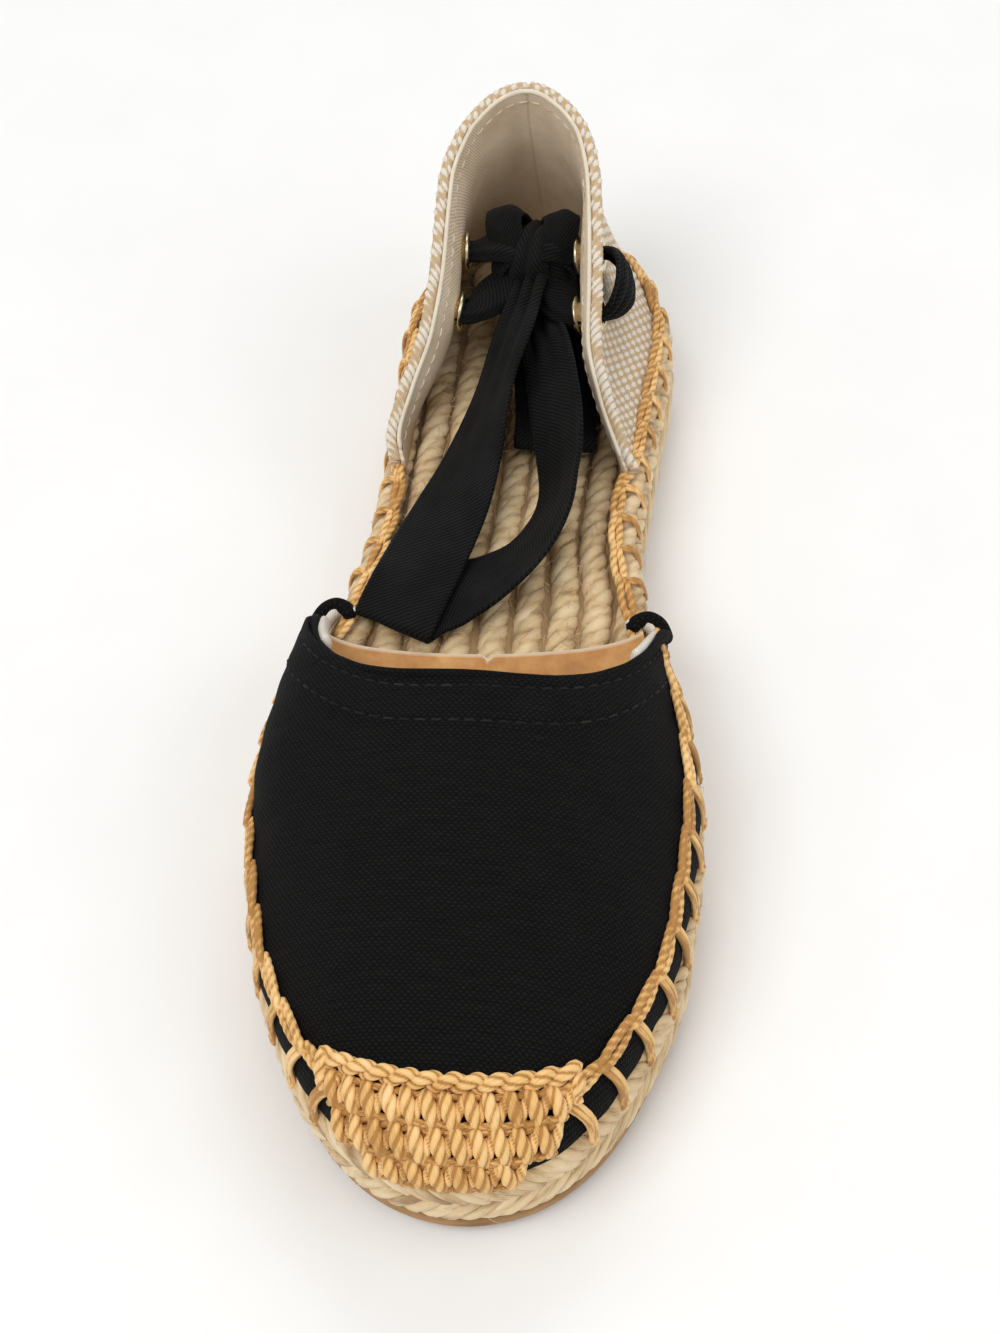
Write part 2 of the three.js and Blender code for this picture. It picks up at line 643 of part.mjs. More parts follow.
// The row's origin is the middle of the shoe's box, on the ground.
const box = new THREE.Box3().setFromObject(shoe);
const middle = box.getCenter(new THREE.Vector3());
shoe.position.set(-middle.x, -middle.y, -box.min.z);

export default shoe;
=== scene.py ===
"""Tie espadrille for the right foot: plaited jute sole, canvas vamp, crochet toe cap,
woven heel counter with eyelets, and a knotted twill ribbon.

Shapes are worked out in millimetres. s is the distance from the back of the heel along
the sole, so a point of the shoe is place(x, s, z)."""

import bmesh
import bpy
import numpy as np
from mathutils import Matrix, Vector


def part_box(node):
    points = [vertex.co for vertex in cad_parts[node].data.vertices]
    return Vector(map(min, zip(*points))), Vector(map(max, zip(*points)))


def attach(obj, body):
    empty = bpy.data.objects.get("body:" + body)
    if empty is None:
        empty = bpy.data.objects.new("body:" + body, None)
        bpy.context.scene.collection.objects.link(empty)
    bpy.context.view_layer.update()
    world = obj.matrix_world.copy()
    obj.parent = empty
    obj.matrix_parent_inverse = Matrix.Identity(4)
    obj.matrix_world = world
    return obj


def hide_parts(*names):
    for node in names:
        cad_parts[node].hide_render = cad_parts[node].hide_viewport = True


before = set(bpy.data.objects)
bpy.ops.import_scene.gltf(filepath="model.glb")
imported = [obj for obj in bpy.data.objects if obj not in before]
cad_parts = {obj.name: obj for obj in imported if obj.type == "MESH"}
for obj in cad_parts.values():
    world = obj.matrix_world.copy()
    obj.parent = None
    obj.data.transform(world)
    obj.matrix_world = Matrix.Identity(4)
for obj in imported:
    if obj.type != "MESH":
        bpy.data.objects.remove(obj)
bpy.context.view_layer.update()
rng = np.random.default_rng(7)

# ---- sizes of the shoe, as in the CAD ----
LENGTH = 250.0
SOLE_TOP = 24.5
VAMP_FOOT = 20.3
VAMP_WALL = 1.6
VAMP_INSET = 0.7
THROAT_CORNER, THROAT_DEPTH = 124.0, 33.0
THROAT_POWER, TOE_POWER, TOES_FROM = 1.1, 0.87, 215
CLOSES_FROM = 205
TOE_SPRING, SPRING_FROM, SPRING_RUN = 3.5, 195, 55
ARCH_RISE, ARCH_FROM, ARCH_RUN = 1.2, 72, 71
TOE_SWING = 3.4
DISH = 1.4
COUNTER_WALL = 3.0
COUNTER_FRONT = 82.0
COUNTER_FOOT = SOLE_TOP + 0.3
FOOT_INSET_BACK, FOOT_INSET_GAIN = 4.4, 1.4
RIM_ROUNDING = 14
TIED_IN, HEEL_LEAN = 3.4, 3
RIM_BACK, RIM_TOP, RIM_FRONT, RIM_SHIFT = 7.0, 71.2, 27.6, -2.3
CAP_CENTRE = 2.8
EYELET_REACH = 3.2
RIBBON_WIDTH, RIBBON_THICK = 18.0, 0.9
LATERAL, MEDIAL = -1.0, 1.0

# s, lateral and medial half width of the sole
OUTLINE = np.array([
    [0, 0, 0], [8, 17.5, 17.5], [20, 26.5, 26.8], [38, 31, 31.4], [65, 30.4, 29.6],
    [95, 30.8, 27.9], [125, 36.8, 34], [150, 44.4, 42.4], [170, 45.7, 44.7], [200, 42.2, 42.2],
    [220, 35.4, 35.6], [235, 26.8, 27.4], [245, 16.4, 16.9], [250, 0, 0]], float)
# s, height of the vamp's crown
CROWN = np.array([[120, 35], [160, 31.5], [200, 25], [235, 19.5], [250, 18]], float)
# s, lateral and medial half width of the counter's rim
RIM = np.array([
    [7, 0, 0], [10, 8, 7.6], [15, 12.4, 12.4], [20, 15.3, 15.2], [30, 18, 17.7], [48, 18.6, 19.2],
    [60, 20.4, 19.6], [70, 24.2, 22.6], [78, 26.6, 26.6], [82, 25.4, 29]], float)
# share of the way forward and of the way up the counter
EYELETS = [("rear", 0.6, 0.63), ("front", 0.73, 0.6)]
# x, s, z, direction of the width (across, forward, up), width
LONG_LOOP = np.array([
    [0.4, 37.5, 43.5, 0.9, 0, 0.3, 8], [-0.8, 46.5, 44.6, 0.9, 0, 0.45, 9], [-2.6, 54, 42, 0.75, 0, 0.66, 13],
    [-5.2, 64, 38, 0.62, 0, 0.78, 16.5], [-7.6, 75, 34.6, 0.66, 0.1, 0.7, 18],
    [-9.8, 86, 32, 0.8, 0.15, 0.5, 18], [-12.6, 97, 30.2, 0.9, 0.3, 0.25, 18],
    [-16, 108, 29.1, 0.92, 0.38, 0.08, 18], [-19, 118, 28.7, 0.9, 0.42, 0, 18],
    [-21, 125.4, 28.4, 0.9, 0.42, 0, 18], [-21.8, 127.8, 27.5, 0.9, 0.42, 0, 18],
    [-20.8, 125.6, 26.6, 0.88, 0.45, 0, 18], [-16.5, 121.2, 26.5, 0.7, 0.7, 0.05, 18],
    [-10, 118, 27, 0.42, 0.9, 0.1, 18], [-3, 115, 28.8, 0.48, 0.8, 0.35, 18],
    [4, 109.5, 31, 0.62, 0.5, 0.6, 18], [8.6, 101, 32.5, 0.6, 0.25, 0.76, 18],
    [10.3, 91, 34, 0.5, 0, 0.86, 18], [9.6, 81, 37, 0.55, -0.08, 0.83, 18],
    [7.5, 70, 38.8, 0.62, -0.1, 0.78, 16.5], [5, 58, 39, 0.75, -0.05, 0.66, 13],
    [2.4, 47.6, 38, 0.88, 0, 0.47, 9], [1.2, 38, 40.5, 0.9, 0, 0.3, 8]])
SHORT_LOOP = np.array([
    [2.0, 35.5, 39, 1, 0, 0.2, 9], [4.5, 43.5, 33, 1, 0, 0.1, 12], [6, 52, 30.6, 1, 0, 0.05, 16],
    [7, 60, 29.2, 1, 0.05, 0, 18], [7.6, 68, 28.6, 1, 0.05, 0, 18], [7.8, 74, 28.2, 1, 0.05, 0, 18],
    [7.9, 76.4, 27.2, 1, 0.05, 0, 18],
    [7.8, 74.2, 26.3, 1, 0.05, 0, 18], [7.2, 66, 26, 1, 0.05, 0, 18], [6, 56, 25.8, 1, 0, 0, 18],
    [4.5, 45, 25.8, 1, 0, 0, 18], [3, 34, 26, 1, 0, 0, 16], [2, 24, 27.2, 1, 0, 0, 14],
    [1.4, 18.5, 31, 1, 0, 0, 12], [1, 21.5, 36.5, 1, 0, 0, 10], [0.8, 29.5, 41, 1, 0, 0, 9]])
KNOT = np.array([0.5, 34.0, 42.0])
# turn about the upright, width, radii aside and up, lift, seed
KNOT_WRAPS = [(0.15, 12.0, (8.0, 6.6), 0.0, 1), (1.35, 9.5, (7.4, 7.4), 0.6, 2),
              (2.5, 8.0, (8.6, 6.4), -0.8, 3)]
# place across, height, lean
KNOT_FOLDS = [(-4.2, 9.6, -0.28), (4.0, 8.4, 0.25)]


# ---- curves through the tables ----
def cubic(t, span, value, slope, i):
    """The cubic from row i to row i + 1 with the two rows' values and slopes, t of the way along the span."""
    return ((2 * t**3 - 3 * t**2 + 1) * value[i] + (t**3 - 2 * t**2 + t) * span * slope[i]
            + (3 * t**2 - 2 * t**3) * value[i + 1] + (t**3 - t**2) * span * slope[i + 1])


def table_curve(at, value):
    """Cubic spans through the rows; a row's slope is the harmonic mean of its two neighbours' rises."""
    rise = np.diff(value) / np.diff(at)
    slope = np.concatenate([[rise[0]], np.zeros(len(at) - 2), [rise[-1]]])
    same = rise[:-1] * rise[1:] > 0
    slope[1:-1][same] = (2 * rise[:-1] * rise[1:])[same] / (rise[:-1] + rise[1:])[same]

    def at_station(s):
        """The curve's value at s, held beyond both ends."""
        s = np.clip(s, at[0], at[-1])
        i = np.clip(np.searchsorted(at, s) - 1, 0, len(at) - 2)
        span = at[i + 1] - at[i]
        return cubic((s - at[i]) / span, span, value, slope, i)
    return at_station


lateral_squared = table_curve(OUTLINE[:, 0], OUTLINE[:, 1] ** 2)
medial_squared = table_curve(OUTLINE[:, 0], OUTLINE[:, 2] ** 2)
rim_lateral_squared = table_curve(RIM[:, 0], RIM[:, 1] ** 2)
rim_medial_squared = table_curve(RIM[:, 0], RIM[:, 2] ** 2)
crown_height = table_curve(CROWN[:, 0], CROWN[:, 1])


def smooth(t):
    """3t^2 - 2t^3 between 0 and 1."""
    t = np.clip(t, 0, 1)
    return t * t * (3 - 2 * t)


def unit(v):
    """Vectors divided by their own length."""
    return v / np.maximum(np.linalg.norm(v, axis=-1, keepdims=True), 1e-9)


def run_along(points, axis=0):
    """The length of the line of points up to each of its points, starting at 0."""
    step = np.linalg.norm(np.diff(points, axis=axis), axis=-1)
    return np.concatenate([np.zeros_like(np.take(step, [0], axis)), np.cumsum(step, axis)], axis)


def read_line(at, run, rows):
    """The rows' columns at the lengths at, straight between the rows."""
    return np.stack([np.interp(at, run, rows[:, k]) for k in range(rows.shape[1])], -1)


def angle_at(s):
    """The sole's angle, from 0 at the heel to pi at the toe, whose cosine gives the station s."""
    return np.arccos(1 - 2 * np.asarray(s, float) / LENGTH)


def station_at(angle):
    """s = L (1 - cos a) / 2, which crowds stations at both ends."""
    return LENGTH * (1 - np.cos(angle)) / 2


def lift(s):
    """Toe spring, a parabola over the toes, plus the arch, a squared sine under the waist."""
    spring = TOE_SPRING * (np.maximum(0, s - SPRING_FROM) / SPRING_RUN) ** 2
    return spring + ARCH_RISE * np.sin(np.pi * np.clip((s - ARCH_FROM) / ARCH_RUN, 0, 1)) ** 2


def outline(angle, side):
    """The sole's edge, (x, s): the centre line plus or minus the half width at that station."""
    s = station_at(angle)
    squared = np.where(side < 0, lateral_squared(s), medial_squared(s))
    half = np.sqrt(np.maximum(0, squared)) * np.sign(np.sin(angle))
    return np.stack([TOE_SWING * np.maximum(0, s / (LENGTH / 2) - 1) ** 2 + side * half, s], -1)


def edge(angle, side, inset):
    """The sole's edge moved inward by inset along its own normal."""
    angle, side, inset = np.broadcast_arrays(angle, side, inset)
    near = 0.004
    along = unit(outline(angle + near, side) - outline(angle - near, side))
    outward = np.stack([along[..., 1], -along[..., 0]], -1) * side[..., None]
    return outline(angle, side) - outward * inset[..., None]


lateral_reach = outline(np.linspace(0.01, 3.1, 2000), LATERAL)[:, 0].min()
SHIFT_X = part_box("jute_sole")[0].x * 1000 - lateral_reach
HEEL_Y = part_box("jute_sole")[1].y * 1000


def place(x, s, z):
    """A point of the row's frame, in millimetres."""
    x, s, z = np.broadcast_arrays(x, s, z)
    return np.stack([x + SHIFT_X, HEEL_Y - s, z], -1)


def arch_power(s):
    """The arch is fuller toward the toe: its power falls from the throat to the toes."""
    forward = smooth((s - THROAT_CORNER) / (TOES_FROM - THROAT_CORNER))
    return THROAT_POWER + (TOE_POWER - THROAT_POWER) * forward


def arch_closing(angle):
    """The crown comes down over the toe as 1 - t^2."""
    start = angle_at(CLOSES_FROM)
    return 1 - np.clip((angle - start) / (np.pi - start), 0, 1) ** 2


def vamp(angle, phi, grow):
    """The arch over the foot: across it the place swings as cos(phi)^p and the height as sin(phi)^p."""
    angle, phi = np.broadcast_arrays(angle, phi)
    left = edge(angle, LATERAL, VAMP_INSET - grow)
    right = edge(angle, MEDIAL, VAMP_INSET - grow)
    s = station_at(angle)
    power = arch_power(s)
    swing = np.sign(np.cos(phi)) * np.abs(np.cos(phi)) ** power
    rise = np.maximum(0, np.sin(phi)) ** power
    at = left + (right - left) * ((1 - swing) / 2)[..., None]
    z = VAMP_FOOT + (crown_height(s) + grow) * arch_closing(angle) * rise + lift(at[..., 1])
    return place(at[..., 0], at[..., 1], z)


def throat_angle(phi):
    """Where the throat's edge cuts the arch: furthest forward in the middle, back at both corners."""
    return angle_at(THROAT_CORNER + THROAT_DEPTH * (1 - np.abs(np.cos(phi)) ** 3.4))


COUNTER_REACH = angle_at(COUNTER_FRONT)


def rim_height(s):
    """The rim rises from its front ends to the back in a line bowed by a sine."""
    t = np.clip((COUNTER_FRONT - s) / (COUNTER_FRONT - RIM_BACK), 0, 1)
    return RIM_FRONT + (RIM_TOP - RIM_FRONT) * np.minimum(1, t + 0.15 * np.sin(np.pi * t))


def counter(u, v, depth):
    """The heel wall: u from -1 at the lateral front end to 1 at the medial one, v from foot to rim,
    each height a point between the sole's edge and the rim's outline, drawn in where it is tied."""
    u, v, depth = np.broadcast_arrays(u, v, depth)
    side = np.where(u < 0, LATERAL, MEDIAL)
    angle = np.abs(u) * COUNTER_REACH
    share = (1 - np.cos(angle)) / (1 - np.cos(COUNTER_REACH))
    foot = edge(angle, side, FOOT_INSET_BACK - FOOT_INSET_GAIN * share + depth)
    rim_s = RIM_BACK + (COUNTER_FRONT - RIM_BACK) * share
    squared = np.where(side < 0, rim_lateral_squared(rim_s), rim_medial_squared(rim_s))
    half = np.sqrt(np.maximum(0, squared))
    turned = half / RIM_ROUNDING
    inward = unit(np.stack([-side * np.minimum(1, turned), np.maximum(0, 1 - turned)], -1))
    rim = np.stack([RIM_SHIFT + side * half, rim_s], -1) + inward * depth[..., None]
    up = np.clip(v, 0, 1)
    reach = np.sin(np.pi / 2 * up) + 0.06 * np.sin(np.pi * up) * (1 - share**6)
    at = foot + (rim - foot) * reach[..., None]
    x = at[..., 0] - side * TIED_IN * np.sin(np.pi * share) ** 2 * np.sin(np.pi * up)
    s = at[..., 1] - HEEL_LEAN * np.sin(np.pi * up ** 0.8) * np.maximum(0, np.cos(angle * 2.2))
    return place(x, s, COUNTER_FOOT + (rim_height(rim_s) - COUNTER_FOOT) * v + lift(s))


def wave(t, seed, count=5):
    """A slow wander between about -1 and 1: a few sines of random pace and phase."""
    r = np.random.default_rng(seed)
    pace, phase = r.uniform(0.4, 2.2, count), r.uniform(0, 2 * np.pi, count)
    return np.sin(np.asarray(t)[..., None] * pace + phase).sum(-1) / count**0.5 / 1.2


def footbed(across, s):
    """The footbed is dished by a parabola across its width, less so near heel and toe."""
    return -DISH * (1 - across**2) * smooth((np.minimum(s, LENGTH - s) - 7) / 25)


# ---- meshes from grids ----
NO_TRIS, NO_UV = np.zeros((0, 3), int), np.zeros((0, 3, 2))


def grid_quads(rows, columns, closed=False):
    """The quads of a grid of points, row by row; closed joins the last column to the first."""
    i, j = np.meshgrid(np.arange(rows - 1), np.arange(columns if closed else columns - 1), indexing="ij")
    k, i = (j + 1) % columns, i * columns
    return np.stack([i + j, i + k, i + columns + k, i + columns + j], -1).reshape(-1, 4)


def closed_patch(p, q, uv4, tint, t=NO_TRIS, uv3=NO_UV):
    """A closed patch of points, quads and tris, each with a tint or the cloth's coordinates; its faces are
    turned outward if its signed volume is negative."""
    three = np.concatenate([q[:, [0, 1, 2]], q[:, [0, 2, 3]], t])
    a, b, c = p[three[:, 0]], p[three[:, 1]], p[three[:, 2]]
    if np.einsum("ij,ij->i", a - p[0], np.cross(b - p[0], c - p[0])).sum() < 0:
        q, uv4, t, uv3 = q[:, ::-1], uv4[:, ::-1], t[:, ::-1], uv3[:, ::-1]
    return {"points": p, "quads": q, "uv4": uv4, "tris": t, "uv3": uv3, "tint": tint}


def shell(outer, inner, uv, tint=None):
    """Two grids of the same shape, one within the other, and the walls that join their four borders."""
    rows, columns = outer.shape[:2]
    count = rows * columns
    q = grid_quads(rows, columns)
    i = np.arange(count).reshape(rows, columns)
    ring = np.concatenate([i[0], i[1:, -1], i[-1, -2::-1], i[-2:0:-1, 0]])
    nxt = np.roll(ring, -1)
    wall = np.stack([ring, ring + count, nxt + count, nxt], -1)
    quads = np.concatenate([q, q[:, ::-1] + count, wall])
    both = np.concatenate([uv.reshape(-1, 2)] * 2)
    tints = np.zeros(count) if tint is None else tint.ravel()
    points = np.concatenate([outer.reshape(-1, 3), inner.reshape(-1, 3)])
    return closed_patch(points, quads, both[quads], np.concatenate([tints, tints]))


def tubes(paths, up, wide, thick=None, sides=8, plies=0, twist=0.0, tint=0.0, blunt=0.6, depth=0.24):
    """Many closed cords at once: an ellipse, wide across the path and thick along up, carried along each
    path. plies lobes are cut into the ellipse and turn with the length, as in twisted yarn, and the tint is
    lowered in the grooves between them as painted shade."""
    paths = np.asarray(paths, float)
    count, steps = paths.shape[:2]
    along = unit(np.gradient(paths, axis=1))
    up = np.broadcast_to(up, paths.shape)
    normal = unit(up - (up * along).sum(-1, keepdims=True) * along)
    across = np.cross(along, normal)
    length = run_along(paths, 1)
    theta = 2 * np.pi * np.arange(sides) / sides
    lobes, groove = 1.0, 0.0
    if plies:
        ply = np.abs(np.cos(plies / 2 * (theta - twist * length[..., None])))
        lobes = 1 - depth + depth * ply ** 0.8
        # painted shade: how far the tint is lowered in the grooves between the plies
        groove = 1.7 * depth / 0.24 * np.maximum(0, 0.75 - ply)
    wide = np.broadcast_to(np.asarray(wide, float), (count, steps))
    thick = wide if thick is None else np.broadcast_to(np.asarray(thick, float), (count, steps))
    end = np.ones(steps); end[[0, -1]] = blunt
    cos = (np.cos(theta) * lobes * (thick * end)[..., None])[..., None]
    sin = (np.sin(theta) * lobes * (wide * end)[..., None])[..., None]
    points = paths[:, :, None] + normal[:, :, None] * cos + across[:, :, None] * sin
    base = grid_quads(steps, sides, closed=True)
    first = np.arange(count) * steps * sides
    quads = (base[None, :, ::-1] + first[:, None, None]).reshape(-1, 4)
    j = np.arange(sides)
    u = np.stack(np.broadcast_arrays(length[:, :, None] + 0 * theta, j), -1).reshape(-1, 2)
    uv4 = u[quads].astype(float)
    wrap = (uv4[..., 1].max(1) - uv4[..., 1].min(1)) > 1.5
    uv4[..., 1] = np.where(wrap[:, None] & (uv4[..., 1] < 1), sides, uv4[..., 1])
    uv4[..., 1] *= 2 * np.pi * float(wide.mean()) / sides
    hubs = count * steps * sides + np.arange(count)
    hub_points = np.concatenate([paths[:, 0] - along[:, 0] * wide[:, :1] * 0.3,
                                 paths[:, -1] + along[:, -1] * wide[:, -1:] * 0.3])
    start = np.stack([j, (j + 1) % sides], -1)
    one = np.concatenate([(start[None] + first[:, None, None]),
                          np.broadcast_to(hubs[:, None, None], (count, sides, 1))], -1)
    two = np.concatenate([(start[None, :, ::-1] + first[:, None, None] + (steps - 1) * sides),
                          np.broadcast_to(hubs[:, None, None] + count, (count, sides, 1))], -1)
    tris = np.concatenate([one.reshape(-1, 3), two.reshape(-1, 3)])
    tint = np.broadcast_to(np.asarray(tint, float), (count, steps) if np.ndim(tint) == 2 else (count,))
    tint = tint if tint.ndim == 2 else np.repeat(tint[:, None], steps, 1)
    all_points = np.concatenate([points.reshape(-1, 3), hub_points])
    tints = np.concatenate([(tint[..., None] - groove + 0 * theta).ravel(), tint[:, 0], tint[:, -1]])
    uv3 = np.concatenate([u, np.zeros((2 * count, 2))])[tris] * 1.0
    return closed_patch(all_points, quads, uv4, tints, tris, uv3)


def piece(name, patches, material, replaces=(), weld=False):
    """One mesh object of the patches, in metres, riding on the shoe."""
    first = np.cumsum([0] + [len(p["points"]) for p in patches])[:-1]
    points = np.concatenate([p["points"] for p in patches]) * 0.001
    quads = np.concatenate([p["quads"] + f for p, f in zip(patches, first)])
    tris = np.concatenate([p["tris"] + f for p, f in zip(patches, first)])
    mesh = bpy.data.meshes.new(name)
    mesh.from_pydata(points.tolist(), [], quads.tolist() + tris.tolist())
    uv = np.concatenate([np.concatenate([p["uv4"] for p in patches]).reshape(-1, 2),
                         np.concatenate([p["uv3"] for p in patches]).reshape(-1, 2)])
    mesh.uv_layers.new(name="UVMap").data.foreach_set("uv", uv.astype(np.float32).ravel())
    tint = np.concatenate([p["tint"] for p in patches]).astype(np.float32)
    mesh.attributes.new("tint", "FLOAT", "POINT").data.foreach_set("value", tint)
    mesh.polygons.foreach_set("use_smooth", np.full(len(mesh.polygons), True))
    mesh.materials.append(material)
    mesh.update()
    made = bpy.data.objects.new(name, mesh)
    bpy.context.scene.collection.objects.link(made)
    if weld:
        work = bmesh.new()
        work.from_mesh(mesh)
        bmesh.ops.remove_doubles(work, verts=work.verts, dist=2e-6)
        work.to_mesh(mesh)
        work.free()
    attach(made, "root")
    if replaces:
        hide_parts(*replaces)
    return made


def spline(points, count):
    """A Catmull-Rom curve through the rows, spaced by the root of their distance; extra columns go along."""
    points = np.asarray(points, float)
    gap = np.linalg.norm(np.diff(points[:, :3], axis=0), axis=1) ** 0.5
    at = np.concatenate([[0], np.cumsum(gap)])
    slope = np.gradient(points, at, axis=0)
    t = np.linspace(0, at[-1], 900)
    i = np.clip(np.searchsorted(at, t) - 1, 0, len(at) - 2)
    span = (at[i + 1] - at[i])[:, None]
    fine = cubic((t - at[i])[:, None] / span, span, points, slope, i)
    length = run_along(fine[:, :3])
    want = np.linspace(0, length[-1], count)
    return read_line(want, length, fine)


# ---- materials ----
class Nodes:
    """A material's node tree, with short ways to add and join nodes."""

    def __init__(self, name):
        self.material = bpy.data.materials.new(name)
        self.material.use_nodes = True
        self.tree = self.material.node_tree
        self.shader = self.tree.nodes["Principled BSDF"]

    def add(self, kind, inputs=None, **settings):
        """A node of the kind; an input is a value, or a socket to join."""
        node = self.tree.nodes.new(kind)
        for key, value in settings.items():
            setattr(node, key, value)
        for key, value in (inputs or {}).items():
            socket = node.inputs[key]
            if isinstance(value, bpy.types.NodeSocket):
                self.tree.links.new(value, socket)
            else:
                socket.default_value = value
        return node

    def math(self, operation, a, b=0.0):
        """A sum, product or other operation on two numbers."""
        return self.add("ShaderNodeMath", {0: a, 1: b}, operation=operation).outputs[0]

    def plus(self, a, b):
        return self.math("ADD", a, b)

    def times(self, a, b):
        return self.math("MULTIPLY", a, b)

    def noise(self, where, scale, detail=3.0, rough=0.6):
        """Fractal noise from 0 to 1 over the coordinates."""
        return self.add("ShaderNodeTexNoise", {"Vector": where, "Scale": scale, "Detail": detail,
                                               "Roughness": rough}).outputs["Fac"]

    def ramp(self, value, stops):
        """Colours between stops of (value, colour)."""
        node = self.add("ShaderNodeValToRGB", {"Fac": value})
        while len(node.color_ramp.elements) < len(stops):
            node.color_ramp.elements.new(0.5)
        for element, (at, colour) in zip(node.color_ramp.elements, stops):
            element.position = at
            element.color = (*colour, 1)
        return node.outputs["Color"]

    def mix(self, share, a, b, blend="MIX"):
        """Colour a turned into b by the share, or blended with it in another way."""
        node = self.add("ShaderNodeMix", {}, data_type="RGBA", blend_type=blend)
        for socket, value in ((node.inputs[0], share), (node.inputs[6], a), (node.inputs[7], b)):
            if isinstance(value, bpy.types.NodeSocket):
                self.tree.links.new(value, socket)
            else:
                socket.default_value = (*value, 1) if isinstance(value, tuple) else value
        return node.outputs[2]

    def uv(self, scale=(1, 1, 1)):
        """The cloth's or the cord's own coordinates, in millimetres."""
        source = self.add("ShaderNodeUVMap", uv_map="UVMap").outputs[0]
        return self.add("ShaderNodeMapping", {"Vector": source, "Scale": scale}).outputs[0]

    def here(self, scale=(1, 1, 1)):
        """The place on the shoe, in metres."""
        source = self.add("ShaderNodeTexCoord").outputs["Object"]
        return self.add("ShaderNodeMapping", {"Vector": source, "Scale": scale}).outputs[0]

    def tint(self):
        """The lightness that the mesh code gave each point."""
        return self.add("ShaderNodeAttribute", attribute_name="tint").outputs["Fac"]

    def finish(self, colour, rough, height=None, strength=0.4, distance=0.0003, **sockets):
        """Joins colour, roughness and bump to the shader and returns the material."""
        for key, value in (("Base Color", colour), ("Roughness", rough)):
            if isinstance(value, bpy.types.NodeSocket):
                self.tree.links.new(value, self.shader.inputs[key])
            else:
                self.shader.inputs[key].default_value = (*value, 1) if isinstance(value, tuple) else value
        if height is not None:
            bump = self.add("ShaderNodeBump", {"Height": height, "Strength": strength, "Distance": distance})
            self.tree.links.new(bump.outputs[0], self.shader.inputs["Normal"])
        for key, value in sockets.items():
            self.shader.inputs[key.replace("_", " ")].default_value = value
        return self.material


def yarn_material(name, dark, middle, light, fibre=6.0, strength=0.5, rough=0.85, sheen=0.25):
    """Fibres run along each cord: noise stretched along the cord's length, with slow colour changes."""
    n = Nodes(name)
    fine = n.noise(n.uv((0.22, fibre, 1)), 1.0, 4.0, 0.7)
    patchy = n.noise(n.here(), 140.0, 2.0)
    mixed = n.plus(n.times(fine, 0.6), n.times(patchy, 0.4))
    # the mesh's tint shifts the colour: random tone plus the painted light and shade that the cord code puts
    # in grooves, crossings and on top
    colour = n.ramp(n.plus(mixed, n.times(n.tint(), 0.3)),
                    [(0.30, dark), (0.50, middle), (0.72, light)])
    return n.finish(colour, rough, fine, strength, 0.0005, Sheen_Weight=sheen, Specular_IOR_Level=0.25)


def canvas_material(name, deep, thread, pitch=0.62):
    """Plain weave: two sets of threads as sines of the cloth's own coordinates, over and under in turn.
    The colour follows the weave's height and slubs: the threads keep their own near-black tone, and the gaps
    between them are darkened as painted shade.
    """
    n = Nodes(name)
    split = n.add("ShaderNodeSeparateXYZ", {0: n.uv()})
    wander = n.times(n.noise(n.uv(), 0.5, 2.0), 0.8)
    a = n.math("SINE", n.times(n.plus(split.outputs[0], wander), np.pi / pitch))
    b = n.math("SINE", n.times(n.plus(split.outputs[1], wander), np.pi / pitch))
    checks = n.times(a, b)
    height = n.plus(n.times(checks, 0.5), n.times(n.math("ABSOLUTE", b), 0.5))
    slub = n.noise(n.uv((0.12, 1.6, 1)), 1.0, 3.0)
    fleck = n.noise(n.uv(), 1.9, 2.0, 0.8)
    # painted shade: the colour is darker where the weave is low, between the threads
    value = n.times(n.plus(n.times(height, 0.5), 0.25), n.plus(slub, 0.25))
    colour = n.ramp(value, [(0.12, deep), (0.62, thread)])
    spot = n.ramp(fleck, [(0.70, (0, 0, 0)), (0.78, (1, 1, 1))])
    colour = n.mix(spot, colour, tuple(4.5 * c for c in thread))
    total = n.plus(height, n.times(slub, 0.8))
    return n.finish(colour, 0.92, total, 0.75, 0.00022, Sheen_Weight=0.015, Sheen_Roughness=0.5,
                    Specular_IOR_Level=0.1)


def twill_material(name, deep, thread, pitch=0.75, slope=0.8, strength=0.5, level=0.2, shade_height=0.0):
    """Twill: ribs along a diagonal of the cloth's own coordinates, crossed by finer threads. Given a height,
    the cloth is darkened toward its foot over that height, as painted shade low inside the heel cup."""
    n = Nodes(name)
    split = n.add("ShaderNodeSeparateXYZ", {0: n.uv()})
    x, y = split.outputs[0], split.outputs[1]
    wander = n.times(n.noise(n.uv(), 0.35, 2.0), 0.7)
    slanted = n.plus(n.plus(x, n.times(y, slope)), wander)
    rib = n.math("SINE", n.times(slanted, 2 * np.pi / pitch))
    cross = n.math("SINE", n.times(y, 2 * np.pi / (pitch * 0.7)))
    height = n.plus(n.times(rib, 0.5), n.times(cross, 0.22))
    worn = n.noise(n.here(), 90.0, 3.0)
    # painted shade: the colour is lighter on the ribs and darker between them; worn adds random tone
    value = n.plus(n.times(height, 0.5), worn)
    colour = n.ramp(value, [(0.25, deep), (0.85, thread)])
    if shade_height:
        # painted shade: the cloth darkens toward its foot, low inside the heel cup
        foot_shade = n.ramp(n.math("DIVIDE", y, shade_height), [(0.0, (0.52, 0.40, 0.28)), (0.75, (1, 1, 1))])
        colour = n.mix(1.0, colour, foot_shade, "MULTIPLY")
    return n.finish(colour, 0.85, height, strength, 0.0002, Sheen_Weight=0.02, Specular_IOR_Level=level)


